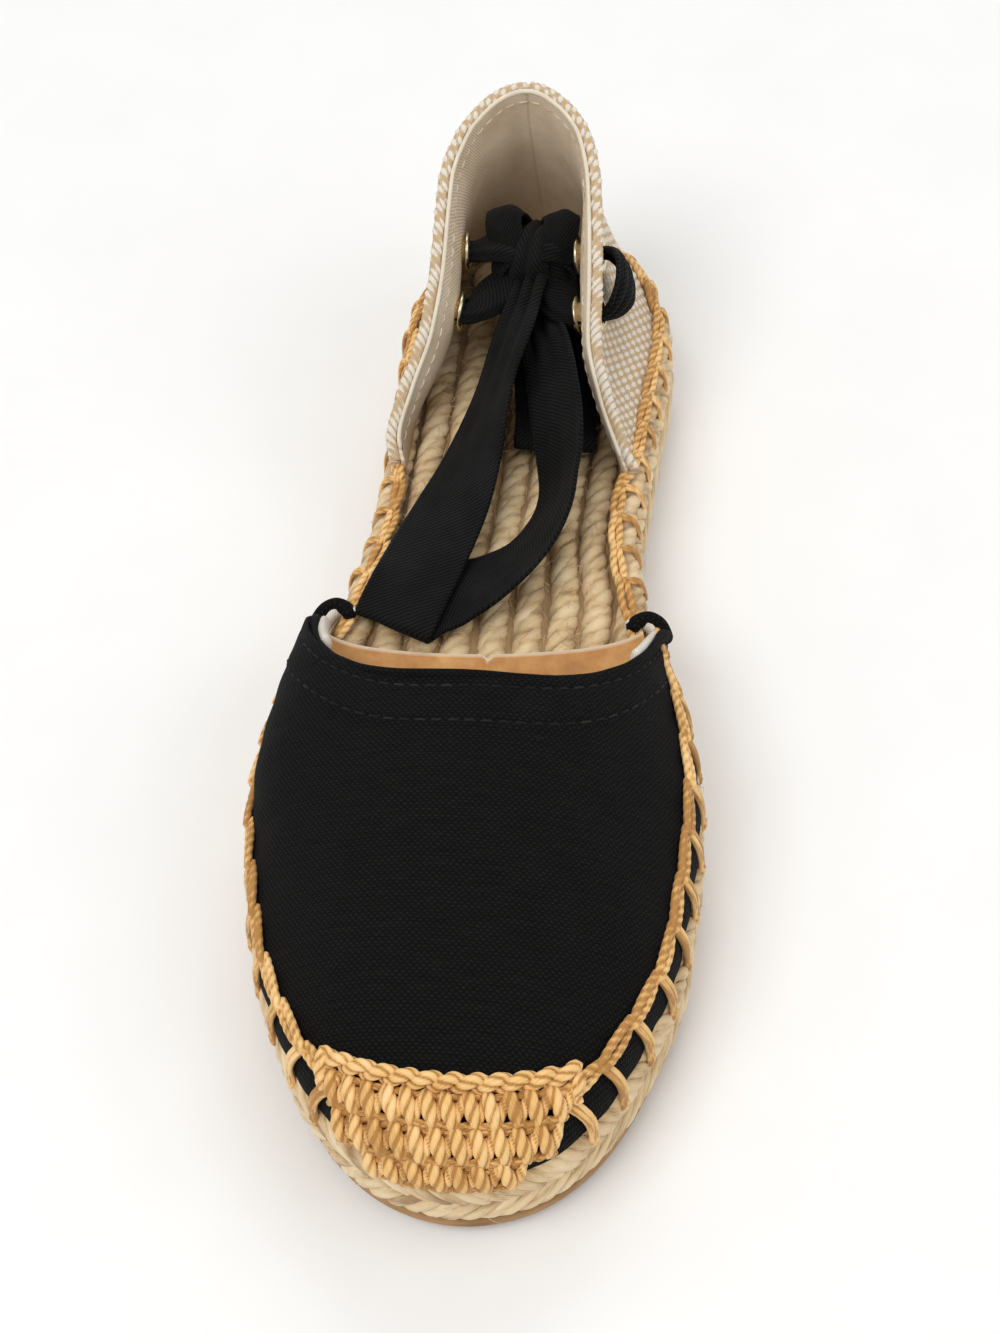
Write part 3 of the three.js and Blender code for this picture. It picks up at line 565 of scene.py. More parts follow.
LINING_HEIGHT = 42.0
JUTE = yarn_material("jute_yarn", (0.38, 0.23, 0.10), (0.77, 0.555, 0.295), (0.92, 0.74, 0.47))
# a darker copy of the jute yarn for the filling inside the sole: painted shade where it shows between the
# strands
JUTE_SHADED = yarn_material("jute_in_painted_shade", (0.24, 0.145, 0.06), (0.38, 0.25, 0.12), (0.50, 0.35, 0.18))
HONEY = yarn_material("honey_cord", (0.46, 0.22, 0.055), (0.86, 0.52, 0.19), (0.97, 0.70, 0.36),
                      fibre=3.0, strength=0.35, rough=0.6, sheen=0.1)
CANVAS = canvas_material("black_canvas", (0.0010, 0.0010, 0.0010), (0.0125, 0.0122, 0.0118))
# the lining is darkened toward its foot over its height as painted shade inside the heel cup
LINING = twill_material("off_white_twill", (0.60, 0.46, 0.31), (0.90, 0.77, 0.60), pitch=0.9,
                        strength=0.3, shade_height=LINING_HEIGHT)
WHITE_EDGE = twill_material("white_lining", (0.62, 0.55, 0.46), (0.86, 0.81, 0.72), pitch=0.6, strength=0.3)
RIBBON = twill_material("black_twill_tape", (0.0008, 0.0008, 0.0009), (0.0125, 0.0123, 0.0122),
                        pitch=1.0, strength=0.8, level=0.14)
BLACK_THREAD = yarn_material("black_thread", (0.003, 0.003, 0.003), (0.008, 0.008, 0.008),
                             (0.022, 0.021, 0.020), sheen=0.02)
CREAM_THREAD = yarn_material("cream_thread", (0.55, 0.42, 0.26), (0.78, 0.66, 0.48), (0.9, 0.82, 0.68))


def rubber_material():
    """Crepe rubber: fine grain, darker where it is scuffed."""
    n = Nodes("tan_rubber")
    grain = n.noise(n.here(), 900.0, 4.0)
    scuff = n.noise(n.here((1, 1, 3)), 60.0, 4.0)
    colour = n.ramp(scuff, [(0.30, (0.26, 0.135, 0.05)), (0.50, (0.40, 0.23, 0.10)),
                            (0.70, (0.50, 0.31, 0.15))])
    return n.finish(colour, 0.7, grain, 0.35, 0.0003, Specular_IOR_Level=0.35)


def leather_material():
    """Thin tan leather: fine pebble from cells, mottled colour, pale along the cut back edge."""
    n = Nodes("tan_leather")
    pebble = n.add("ShaderNodeTexVoronoi", {"Vector": n.here(), "Scale": 1400.0}, feature="F1")
    cells = pebble.outputs["Distance"]
    mottle = n.noise(n.here(), 70.0, 5.0)
    fine = n.noise(n.here(), 420.0, 3.0)
    colour = n.ramp(n.plus(n.times(mottle, 0.7), n.times(fine, 0.3)),
                    [(0.34, (0.38, 0.165, 0.045)), (0.52, (0.54, 0.26, 0.078)), (0.68, (0.66, 0.36, 0.13))])
    colour = n.mix(n.tint(), colour, (0.86, 0.72, 0.54))
    height = n.plus(n.times(cells, 0.4), n.times(mottle, 1.2))
    return n.finish(colour, 0.5, height, 0.3, 0.0003, Specular_IOR_Level=0.35)


def metal_material():
    """Plated metal: pale gold with light brushing and a little dulling."""
    n = Nodes("pale_plated_metal")
    dull = n.noise(n.here(), 500.0, 3.0)
    colour = n.ramp(dull, [(0.3, (0.58, 0.47, 0.27)), (0.7, (0.86, 0.77, 0.56))])
    rough = n.plus(n.times(dull, 0.2), 0.16)
    return n.finish(colour, rough, dull, 0.15, 0.0001, Metallic=1.0)


WEAVE_PITCH = 1.45


def weave_material():
    """Basket weave: pale yarn where one set of yarns is on top and straw yarn where the other is,
    read from the sign of a product of sines of the cloth's own coordinates, with the gaps between the
    yarns darkened toward half as painted shade."""
    n = Nodes("basket_weave")
    split = n.add("ShaderNodeSeparateXYZ", {0: n.uv()})
    a = n.math("SINE", n.times(split.outputs[0], np.pi / WEAVE_PITCH))
    b = n.math("SINE", n.times(split.outputs[1], np.pi / WEAVE_PITCH))
    product = n.times(a, b)
    fibres = n.noise(n.uv((2.0, 2.0, 1)), 2.2, 4.0, 0.7)
    share = n.ramp(n.plus(n.times(product, 0.5), 0.5), [(0.32, (0, 0, 0)), (0.44, (1, 1, 1))])
    straw = n.ramp(fibres, [(0.3, (0.44, 0.27, 0.115)), (0.7, (0.72, 0.50, 0.26))])
    white = n.ramp(fibres, [(0.3, (0.70, 0.58, 0.44)), (0.65, (0.90, 0.82, 0.70))])
    # painted shade: the colour is darkened toward half in the gaps between the yarns
    groove = n.times(n.math("ABSOLUTE", a), n.math("ABSOLUTE", b))
    deep = n.ramp(groove, [(0.0, (0.5, 0.5, 0.5)), (0.22, (1, 1, 1))])
    colour = n.mix(1.0, n.mix(share, straw, white), deep, "MULTIPLY")
    return n.finish(colour, 0.85, fibres, 0.4, 0.0003, Sheen_Weight=0.15, Specular_IOR_Level=0.25)


RUBBER, LEATHER, METAL, WEAVE = rubber_material(), leather_material(), metal_material(), weave_material()


# ---- camera ----
CAMERA_PLACE = Vector((0.0541, -0.3043, 0.4240))
CAMERA_LOOKS_AT = Vector((0.0015, -0.0080, 0.0240))
CAMERA_ROLL = np.radians(-5.42)
CAMERA_LENS = 65.2
forward = (CAMERA_LOOKS_AT - CAMERA_PLACE).normalized()
level = forward.cross(Vector((0, 0, 1))).normalized()
upright = level.cross(forward)
right_hand = level * np.cos(CAMERA_ROLL) + upright * np.sin(CAMERA_ROLL)
top = right_hand.cross(forward)
camera_data = bpy.data.cameras.new("camera")
camera_data.sensor_fit = "VERTICAL"
camera_data.sensor_height = 36
camera_data.lens = CAMERA_LENS
camera = bpy.data.objects.new("camera", camera_data)
camera.matrix_world = Matrix((
    (right_hand.x, top.x, -forward.x, CAMERA_PLACE.x), (right_hand.y, top.y, -forward.y, CAMERA_PLACE.y),
    (right_hand.z, top.z, -forward.z, CAMERA_PLACE.z), (0, 0, 0, 1)))
bpy.context.scene.collection.objects.link(camera)
bpy.context.scene.camera = camera


# ---- ribbon ----
def band(route, lies, width, thick=RIBBON_THICK, cup=0.0, pleat=0.0, pleats=3, columns=28, phase=0.0):
    """A flat tape along the route: each ring is a straight line of the given width, bowed by cup times
    1 - a^2 and folded by pleat times a sine of a, where a goes from -1 to 1 across. Two such grids, a
    thickness apart and a little thicker at the selvedges, make the tape."""
    count = len(route)
    along = unit(np.gradient(route, axis=0))
    across = unit(lies - (lies * along).sum(-1, keepdims=True) * along)
    through = np.cross(along, across)
    a = np.linspace(-1, 1, columns)
    cup, pleat = np.broadcast_to(cup, count), np.broadcast_to(pleat, count)
    bow = cup[:, None] * (1 - a**2) + pleat[:, None] * np.sin(np.pi * pleats * a + phase)
    middle = (route[:, None] + across[:, None] * (a * width[:, None] / 2)[..., None]
              + through[:, None] * bow[..., None])
    normal = unit(np.cross(np.gradient(middle, axis=0), np.gradient(middle, axis=1)))
    selvedge, rounded = np.exp(-((np.abs(a) - 0.93) / 0.05) ** 2), np.abs(a) > 0.985
    half = thick / 2 * (1 + 0.25 * selvedge - 0.35 * rounded)
    length = run_along(route)
    uv = np.stack(np.broadcast_arrays(length[:, None], a * RIBBON_WIDTH / 2), -1)
    return shell(middle + normal * half[:, None], middle - normal * half[:, None], uv)


def looped(rows, count):
    """The tape's middle line, the way its width lies and its width, from a table of folds."""
    table = spline(rows, count)
    lies = table[:, 3:6] * np.array([1, -1, 1])
    return place(table[:, 0], table[:, 1], table[:, 2]), lies, table[:, 6]


def sway(count, seed, amount):
    """A slow wander of the given size along a tape."""
    return amount * wave(np.linspace(0, 9, count), seed)


def gathered(count, folds_start, folds_end):
    """Pleats are deepest where the tape is gathered, and gone within a quarter of its length."""
    t = np.linspace(0, 1, count)
    return folds_start * np.exp(-t / 0.09) + folds_end * np.exp(-(1 - t) / 0.09)


def add_ribbon_loops(knot):
    """Both loops run out of the knot, turn over in a fold and run back into it."""
    for name, node, rows, count, fold, on_it in (
            ("Ribbon_long_loop", "ribbon_long_loop", LONG_LOOP, 200, 1.3, [knot]),
            ("Ribbon_short_loop", "ribbon_short_loop", SHORT_LOOP, 110, 0.6, [])):
        route, lies, width = looped(rows, count)
        made = piece(name, [band(route, lies, width, cup=0.35 + sway(count, 3, 0.5) * 0.6,
                                 pleat=gathered(count, fold, fold), phase=0.6)],
                     RIBBON, [node])


def eyelet_places():
    """Each eyelet's place in the middle of the wall, and the wall's outward direction there."""
    places = {}
    for side, side_name in ((LATERAL, "lateral"), (MEDIAL, "medial")):
        for name, forward_share, up in EYELETS:
            u, near, depth = side * forward_share, 0.01, COUNTER_WALL / 2
            centre = counter(u, up, depth)
            ahead = counter(u + near, up, depth) - counter(u - near, up, depth)
            rising = counter(u, up + near, depth) - counter(u, up - near, depth)
            normal = unit(np.cross(ahead, rising))
            places[side_name, name] = (centre, normal if normal[0] * side > 0 else -normal)
    return places


EYELET_PLACES = eyelet_places()


def add_eyelets():
    """A turned ring: a rolled flange, a barrel and a rolled flange inside, carried round the hole."""
    roll = np.linspace(0, np.pi, 9)
    ring, half, high, barrel = 3.35, 1.05, 0.75, 2.9
    flange, under = ring + 1.0, EYELET_REACH - 0.9
    profile = np.concatenate([
        np.stack([ring - half * np.cos(roll), EYELET_REACH - high + high * np.sin(roll)], -1),
        [[flange, under], [barrel, under], [barrel, -under], [flange, -under]],
        np.stack([ring + half * np.cos(roll), -EYELET_REACH + high - high * np.sin(roll)], -1)])
    theta = np.linspace(0, 2 * np.pi, 48, endpoint=False)
    for (side, name), (centre, normal) in EYELET_PLACES.items():
        one = unit(np.cross(normal, [0, 0, 1.0]))
        two = np.cross(normal, one)
        radial = np.cos(theta)[:, None] * one + np.sin(theta)[:, None] * two
        points = centre + radial[:, None] * profile[None, :, :1] + normal * profile[None, :, 1:]
        rows, columns = points.shape[:2]
        quads = grid_quads(rows + 1, columns, closed=True) % (rows * columns)
        patch = closed_patch(points.reshape(-1, 3), quads, np.zeros((len(quads), 4, 2)),
                             np.zeros(rows * columns))
        piece(f"Eyelet_{side}_{name}", [patch], METAL, [f"eyelet_{side}_{name}"])


def add_ribbon_bars():
    """Outside, the tape comes out of one eyelet, opens into a flat bow and goes back in at the next."""
    for side, side_name, bulge, crown in ((LATERAL, "lateral", 0.7, 0.3), (MEDIAL, "medial", 4.6, 1.1)):
        rear, rear_out = EYELET_PLACES[side_name, "rear"]
        front, front_out = EYELET_PLACES[side_name, "front"]
        out = unit(rear_out + front_out)
        shares = np.array([0.12, 0.32, 0.5, 0.68, 0.88])[:, None]
        bows = np.array([0.62, 0.95, 1, 0.95, 0.62])[:, None]
        arch = rear + (front - rear) * shares + out * (EYELET_REACH + bulge * bows)
        through = np.array([-2.5, 1.5, EYELET_REACH + 0.8])[:, None]
        points = np.concatenate([rear + rear_out * through, arch, front + front_out * through[::-1]])
        lies = np.cross(out, unit(front - rear))
        widths = np.array([3.2, 3.4, 4.4, 11, 17, 18, 17, 11, 4.4, 3.4, 3.2])
        table = spline(np.concatenate([points, widths[:, None]], 1), 90)
        t = np.linspace(-1, 1, 90)
        patch = band(table[:, :3], np.broadcast_to(lies, (90, 3)), table[:, 3], thick=0.8,
                     cup=crown * (1 - t**2), pleat=0.8 * np.abs(t) ** 2 + 0.45, pleats=3.5)
        piece(f"Ribbon_bar_{side_name}", [patch], RIBBON, [f"ribbon_bar_{side_name}"])


def add_knot():
    """Four gathered arms come in from the eyelets and are tied round one another: each wrap is a pleated
    tape on an ellipse about the knot's middle, and two short folds stand up behind it."""
    middle = place(*KNOT)
    patches = []
    for (side, name), (centre, normal) in EYELET_PLACES.items():
        start = centre + normal * 1.5
        inside = centre - normal * (EYELET_REACH + 1.2)
        rise = 3.4 if name == "rear" else 0.2
        halfway = inside * 0.5 + middle * 0.5 + np.array([0, 0, rise])
        table = spline([[*start, 1.9, 1.9], [*inside, 3.5, 2.4], [*halfway, 6.2, 3.2],
                        [*middle, 4.8, 3.4]], 34)
        patches.append(tubes(table[None, :, :3], (0, 0.35, 1.0), table[None, :, 3], table[None, :, 4],
                             sides=22, plies=7, twist=0.02))
    turn = np.linspace(0, 2 * np.pi, 74)
    for tilt, wide, radii, lift_up, seed in KNOT_WRAPS:
        flat = np.array([np.cos(tilt), np.sin(tilt), 0.0])
        axis = np.array([-np.sin(tilt), np.cos(tilt), 0.0])
        wobble = 1 + 0.06 * np.sin(3 * turn + seed)
        route = (middle + np.array([0, 0, lift_up]) + flat * (radii[0] * np.cos(turn) * wobble)[:, None]
                 + np.array([0, 0, 1.0]) * (radii[1] * np.sin(turn) * wobble)[:, None])
        patches.append(band(route, np.broadcast_to(axis, route.shape),
                            wide * (1 + 0.12 * np.sin(2 * turn + seed)),
                            thick=0.9, cup=-1.6, pleat=0.55, pleats=2.6, phase=seed))
    for x, high, lean in KNOT_FOLDS:
        fold = np.linspace(0, np.pi, 50)
        route = middle + np.stack([x + lean * high * np.sin(fold), 5.5 * np.cos(fold) + 2.5,
                                   2.5 + (high - 1.0) * np.sin(fold)], -1)
        patches.append(band(route, np.broadcast_to([1.0, 0.25 * lean, 0.1], route.shape),
                            np.full(len(route), 7.8), thick=0.9, cup=1.7, pleat=0.18, pleats=1.7))
    theta, phi = np.meshgrid(np.linspace(0, np.pi, 24), np.linspace(0, 2 * np.pi, 40), indexing="ij")
    radius = 6.3 * (1 + 0.05 * np.sin(5 * phi + 2 * theta))
    lump = middle + np.stack([radius * np.sin(theta) * np.cos(phi), radius * np.sin(theta) * np.sin(phi),
                              0.92 * radius * np.cos(theta)], -1)
    patches.append(shell(lump, middle + (lump - middle) * 0.6, np.stack([theta, phi], -1)))
    return piece("Ribbon_knot", patches, RIBBON, ["ribbon_knot"])


add_ribbon_loops(add_knot())
add_ribbon_bars()
add_eyelets()


# ---- sole ----
def sole_slab(rings, columns=220):
    """Closed rings one above another, each the sole's edge at an inset and a height, with a lid and a
    floor of straight lines between its two sides."""
    angle = np.linspace(0, np.pi, columns)

    def row(inset, height, side):
        """One side's half ring from heel to toe."""
        at = edge(angle, side, inset)
        return place(at[:, 0], at[:, 1], height + lift(at[:, 1]))
    left = np.stack([row(i, h, LATERAL) for i, h in rings])
    right = np.stack([row(i, h, MEDIAL) for i, h in rings])
    t = np.linspace(0, 1, 12)[1:-1, None, None]
    floor = left[0] + (right[0] - left[0]) * t
    lid = left[-1] + (right[-1] - left[-1]) * t
    section = np.concatenate([left, lid, right[::-1], floor[::-1]])
    count, columns = section.shape[:2]
    quads = grid_quads(count + 1, columns) % (count * columns)
    length = np.broadcast_to(LENGTH * angle / np.pi, (count, columns))
    uv = np.stack(np.broadcast_arrays(length, np.arange(count)[:, None] * 2.0), -1).reshape(-1, 2)
    return [closed_patch(section.reshape(-1, 3), quads, uv[quads], np.zeros(count * columns))]


# inset and height of each ring
RUBBER_RINGS = [(2.0, 0.0), (1.3, 0.15), (1.0, 0.6), (0.95, 1.6), (1.0, 2.6), (1.3, 2.95), (1.7, 3.0)]
FILLING_RINGS = [(3.0, 3.3), (2.2, 6.0), (2.0, 12.0), (2.4, 18.0), (4.6, 19.5), (5.4, 20.6)]
piece("Rubber_outsole", sole_slab(RUBBER_RINGS), RUBBER, ["outsole"], weld=True)
# the filling's darker jute is painted shade, seen between the braid's strands and the footbed rows
piece("Jute_filling", sole_slab(FILLING_RINGS, 120), JUTE_SHADED, weld=True)


HALF_RING = 2001


def sole_ring():
    """The sole's edge as one closed line by its own length, with the outward direction."""
    angle = np.linspace(0, 2 * np.pi, 2 * HALF_RING - 1)
    folded = np.where(angle <= np.pi, angle, 2 * np.pi - angle)
    side = np.where(angle <= np.pi, LATERAL, MEDIAL)
    at = outline(folded, side)
    inner = edge(folded, side, 1.0)
    length = run_along(at)
    return length, at, at - inner


RING_LENGTH, RING_AT, RING_OUT = sole_ring()
GIRTH = RING_LENGTH[-1]


def round_sole(w, inset, z):
    """The point w along the sole's edge, inset inward and z up, and the outward direction there."""
    w, inset, z = np.broadcast_arrays(np.mod(w, GIRTH), inset, z)
    at = read_line(w, RING_LENGTH, RING_AT)
    out = unit(read_line(w, RING_LENGTH, RING_OUT))
    x, s = at[..., 0] - out[..., 0] * inset, at[..., 1] - out[..., 1] * inset
    return place(x, s, z + lift(s)), np.stack([out[..., 0], -out[..., 1], 0 * x], -1)


# heights, and how far the braid's outer face lies inside the sole's widest outline at each
BRAID_FACE = [3, 6.3, 11.3, 18, 20.5], [1.8, 0.4, 0.1, 0.4, 1.3]


def side_inset(z):
    """The braid's face at a height, straight between the table's rows."""
    return np.interp(z, *BRAID_FACE)


BRAID_STRANDS = 9
BRAID_PERIOD = GIRTH / round(GIRTH / 34.0)
BRAID_MIDDLE, BRAID_HALF = 11.9, 7.6
ZIGZAG = 0.975  # how sharp the strands turn at the braid's edges


def add_side_braid():
    """Flat plait of nine strands round the sole: a strand's height is a triangle wave of the length, and it
    lies over the others while it runs to the middle and under them while it runs to an edge. Its tint is
    lighter where it lies over and darker where it runs under, as painted light and shade."""
    w = np.linspace(0, GIRTH, 640)
    k = np.arange(BRAID_STRANDS)[:, None]
    phase = 2 * np.pi * (w / BRAID_PERIOD + k / BRAID_STRANDS)
    rise = np.arcsin(ZIGZAG * np.sin(phase)) / np.arcsin(ZIGZAG)
    over = -np.sin(2 * phase)
    loose = wave(w / 17 + 40 * k, 11)
    z = BRAID_MIDDLE + BRAID_HALF * rise + 0.35 * loose
    inset = side_inset(z) + 0.95 - 0.8 * over - 0.2 * loose
    paths, out = round_sole(w, inset, z)
    # painted light and shade: lighter where the strand lies over the others, darker under them; the wave is
    # random tone
    tint = 0.35 * wave(w / 9 + 30 * k, 5) + 0.35 * over
    wide = 1.62 + 0.16 * wave(w / 6 + 13 * k, 9)
    piece("Side_braid", [tubes(paths, out, wide, 0.95, sides=8, plies=2, twist=0.25, tint=tint, depth=0.12)],
          JUTE, ["jute_sole"])


add_side_braid()

ROW_TOP = SOLE_TOP + 0.1
ROW_INSET, ROW_TUCK, TUCK_FROM, TUCK_RUN = 3.55, 3.2, 112, 14
ROW_REACH = 172  # how far the outermost row runs from the back of the heel, either way
ROW_SHARES = 8  # the inner rows' spacing is the footbed's width over this
THROUGH = np.array([0, 0, 1.0])


def rope_row(x, s, seed, radius=3.15, pitch=15.5):
    """A row of the footbed: three strands wound round a line at the footbed's height, flattened on top."""
    half = np.sqrt(np.interp(s, OUTLINE[:, 0], OUTLINE[:, 1:].mean(1) ** 2)) - 2
    z = ROW_TOP - radius * 0.86 + footbed(np.clip(x / half, -1, 1), s) + lift(s) + 0.15 * wave(s / 9, seed)
    line = place(x + 0.25 * wave(s / 12, seed + 50), s, z)
    along = unit(np.gradient(line, axis=0))
    across = unit(np.cross(along, THROUGH))
    length = run_along(line)
    turn = (2 * np.pi * (length / pitch + np.arange(3)[:, None] / 3) + 1.7 * seed
            + 0.25 * wave(length / 11, seed + 9))
    radius = np.broadcast_to(radius, length.shape)
    swing = np.sin(turn)[..., None] * across + 0.7 * np.cos(turn)[..., None] * THROUGH
    strands = line + swing * (radius * 0.5)[:, None]
    # painted light and shade: each strand is lighter where it turns up on top of the row and darker where it
    # turns down under it; the wave is random tone
    tint = 0.3 * wave(length / 8 + 20 * np.arange(3)[:, None], seed) + 0.35 * np.cos(turn)
    wide = 0.60 * radius + 0.14 * wave(length / 5 + 9 * np.arange(3)[:, None], seed + 3)
    return tubes(strands, swing, wide, 1.5, sides=8, plies=2, twist=0.3, tint=tint, depth=0.14)


def add_footbed_rows():
    """Rows of plait: the outermost follows the sole's edge round the heel, the inner ones run lengthwise
    and end against it."""
    patches = []
    w = np.linspace(-ROW_REACH, ROW_REACH, 330)
    at, _ = round_sole(w, ROW_INSET, 0)
    s = HEEL_Y - at[:, 1]
    tuck = smooth((s - TUCK_FROM) / TUCK_RUN) * ROW_TUCK
    at, _ = round_sole(w, ROW_INSET + tuck, 0)
    patches.append(rope_row(at[:, 0] - SHIFT_X, HEEL_Y - at[:, 1], 1, radius=3.3))
    for k in range(-3, 4):
        station = np.linspace(4, 166, 400)
        inset = ROW_INSET + ROW_TUCK * smooth((station - TUCK_FROM) / TUCK_RUN)
        left, right = edge(angle_at(station), LATERAL, inset), edge(angle_at(station), MEDIAL, inset)
        wide = np.interp(np.maximum(station, 40), left[:, 1], (right - left)[:, 0])
        middle = np.interp(np.maximum(station, 40), left[:, 1], (right + left)[:, 0] / 2)
        x = middle + k / ROW_SHARES * wide
        limit = edge(angle_at(station), LATERAL if k < 0 else MEDIAL, inset + 4.4)
        inside = (x > limit[:, 0] - 0.6) if k < 0 else (x < limit[:, 0] + 0.6)
        first, last = np.flatnonzero(inside)[[0, -1]]
        row_s = np.linspace(station[first], station[last], int((station[last] - station[first]) / 1.05))
        patches.append(rope_row(np.interp(row_s, station, x), row_s, k + 20,
                                radius=np.interp(row_s, station, np.clip(wide / ROW_SHARES / 2, 3.0, 4.4))))
    piece("Footbed_plait", patches, JUTE)


add_footbed_rows()


# ---- vamp ----
HEM = 10.6  # width of the folded hem at the throat
STITCH_ROWS = 2.6, HEM - 0.4  # the two rows' distances from the throat's edge
LINK = 10.8  # one chain stitch
CALM_FROM, CALM_OVER = 2.75, 0.3


def vamp_angles(distance, phi):
    """The angles at which the arch's lines have come the given distances from the throat's edge."""
    t = np.linspace(-0.03, 1, 420)[:, None]
    start = throat_angle(phi)
    angle = start + (np.pi - start) * t
    run = run_along(vamp(np.clip(angle, 0.01, np.pi), phi, 0.0))
    run = run - run[np.argmin(np.abs(t[:, 0]))]
    return np.stack([np.interp(distance, run[:, j], angle[:, j]) for j in range(len(phi))], 1)


def vamp_soft(distance, phi, s):
    """Hem thickness with a step at its lower edge, the two stitch troughs, and the cloth's slow waves."""
    hem_thick, trough_deep, slack_high, bulge_high, pull_deep = 0.55, 0.32, 0.3, 2.4, 0.35
    hem = hem_thick * smooth((HEM + 1.2 - distance) / 1.4)
    first, second = STITCH_ROWS
    troughs = -trough_deep * (np.exp(-((distance - first) / 0.55) ** 2)
                              + np.exp(-((distance - second) / 0.6) ** 2))
    slack = (slack_high * np.sin(s / 7.0 + 2.5 * np.cos(phi)) * np.sin(phi)
             + slack_high * np.sin(phi * 5 + s / 15))
    waist_side = smooth((s - 116) / 12) * (1 - smooth((s - 160) / 24))
    bulge = bulge_high * np.exp(-((phi - 0.5) / 0.36) ** 2) * waist_side
    low = np.abs(np.cos(phi)) ** 6
    pulls = -pull_deep * low * (0.5 + 0.5 * np.cos(2 * np.pi * s / LINK)) * smooth((s - 128) / 10)
    return hem + troughs + slack + pulls + bulge


def vamp_calm(angle):
    """The cloth's slack dies out round the toe, where the cap holds it."""
    return 1 - smooth((angle - CALM_FROM) / CALM_OVER)


def vamp_flare(points, distance, phi, s):
    """The throat's corners roll outward a little, by a power of cos(phi) that fades with the distance."""
    corner = np.abs(np.cos(phi)) ** 5 * np.exp(-distance / 11)
    aside = np.sign(-np.cos(phi)) * 2.3 * corner + 0 * s
    return points + np.stack([aside, 0 * aside, 0 * aside], -1)


def add_vamp():
    """The canvas is the arch's outer face, a round fold over the throat's edge and a strip inside; the
    lining is the same arch further in."""
    phi = np.linspace(0, np.pi, 190)
    near = np.concatenate([np.linspace(0, 1.6, 5), np.arange(2.1, 13, 0.42)])
    far_share = np.linspace(0, 1, 120)[1:]
    angle_near = vamp_angles(near, phi)
    start = angle_near[-1]
    angle_far = start + (np.pi - start) * far_share[:, None] ** 0.92
    angle = np.concatenate([angle_near, angle_far])
    points = vamp(angle, phi, 0.0)
    distance = run_along(points)
    s = station_at(angle)
    rise = vamp_soft(distance, phi, s) * vamp_calm(angle)
    outer = vamp_flare(vamp(angle, phi, rise), distance, phi, s)
    across = run_along(outer, 1)
    across = across - across[:, len(phi) // 2][:, None]
    uv = np.stack([across, s], -1)
    thick = np.where(distance < HEM, 1.15, 0.85)
    inner = vamp_flare(vamp(angle, phi, rise - thick), distance, phi, s)
    lip_angle = angle[:1] - 0.0042
    lip = vamp_flare(vamp(lip_angle, phi, rise[:1] - 0.5), distance[:1], phi, s[:1])
    outer, inner = np.concatenate([lip, outer]), np.concatenate([lip, inner])
    uv = np.concatenate([uv[:1], uv])
    piece("Canvas_vamp", [shell(outer, inner, uv)], CANVAS, ["vamp"], weld=True)
    keep = slice(2, None, 2)
    some, part = angle[keep][:, ::2], phi[::2]
    gone = distance[keep][:, ::2]
    held_back = 0.012
    first = np.concatenate([angle[:1, ::2] + held_back, some + held_back * (gone < 2)])
    from_edge = np.concatenate([gone[:1] * 0, gone])
    first_s = station_at(first)
    follows = vamp_soft(from_edge, part, first_s) * vamp_calm(first)
    base = vamp_flare(vamp(first, part, follows - 1.3), from_edge, part, first_s)
    deep = vamp_flare(vamp(first, part, follows - 0.4 - VAMP_WALL), from_edge, part, first_s)
    piece("Vamp_lining", [shell(base, deep, base[..., :2])], WHITE_EDGE, weld=True)


add_vamp()


# the roll's end at each corner: inward, along, up
CORNER_CURL = np.array([[5.2, 1.0, 25.7], [3.9, -0.9, 26.3], [1.6, -1.9, 26.4], [-0.6, -1.0, 25.9]])


def add_throat_roll():
    """The hem's folded edge as a soft round cord of cloth along the throat, its two ends curled inward over
    the braid at the corners, with the white lining turned up inside each corner."""
    phi = np.linspace(0.17, np.pi - 0.17, 30)
    angle = throat_angle(phi)
    line = vamp_flare(vamp(angle, phi, 0.15), 0.0, phi, station_at(angle))
    inward, back, high = CORNER_CURL.T
    ends = []
    for side in (LATERAL, MEDIAL):
        corner_x, corner_s = edge(angle_at(THROAT_CORNER), side, VAMP_INSET)
        ends.append(place(corner_x - side * inward, corner_s + back, high + lift(corner_s)))
    route = spline(np.concatenate([ends[0], line, ends[1][::-1]]), 260)
    t = np.linspace(0, 1, 260)
    near_end = smooth((0.2 - np.minimum(t, 1 - t)) / 0.14)
    radius = 0.85 + 0.75 * near_end + 0.06 * wave(t * 60, 21)
    piece("Throat_roll", [tubes(route[None], THROUGH, radius[None], sides=16)], CANVAS)
    middle = place(0.0, THROAT_CORNER + 9, SOLE_TOP)
    inward = unit((middle - route) * np.array([1, 1, 0]))
    turned = route + inward * 1.75 - THROUGH * 0.9
    corners = slice(3, 58), slice(202, 257)
    inner = [tubes(turned[part][None], THROUGH, 1.15, 1.9, sides=14) for part in corners]
    piece("Corner_lining", inner, WHITE_EDGE)


def stitch_run(points, normals, length, gap, wide, lift_off, sides=6):
    """Short stitches along a line: each is an arc that dips into the cloth at both ends."""
    run = run_along(points)
    count = int(run[-1] / (length + gap))
    starts = np.arange(count) * (length + gap) + gap / 2
    t = np.linspace(0, 1, 6)
    at = starts[:, None] + length * t
    path = read_line(at, run, points)
    out = unit(read_line(at, run, normals))
    arc = lift_off * (np.sin(np.pi * t) ** 0.6 * 1.4 - 0.7)
    path = path + out * arc[None, :, None]
    return tubes(path, out, wide, wide * 0.7, sides=sides, tint=rng.uniform(-0.6, 0.6, count))


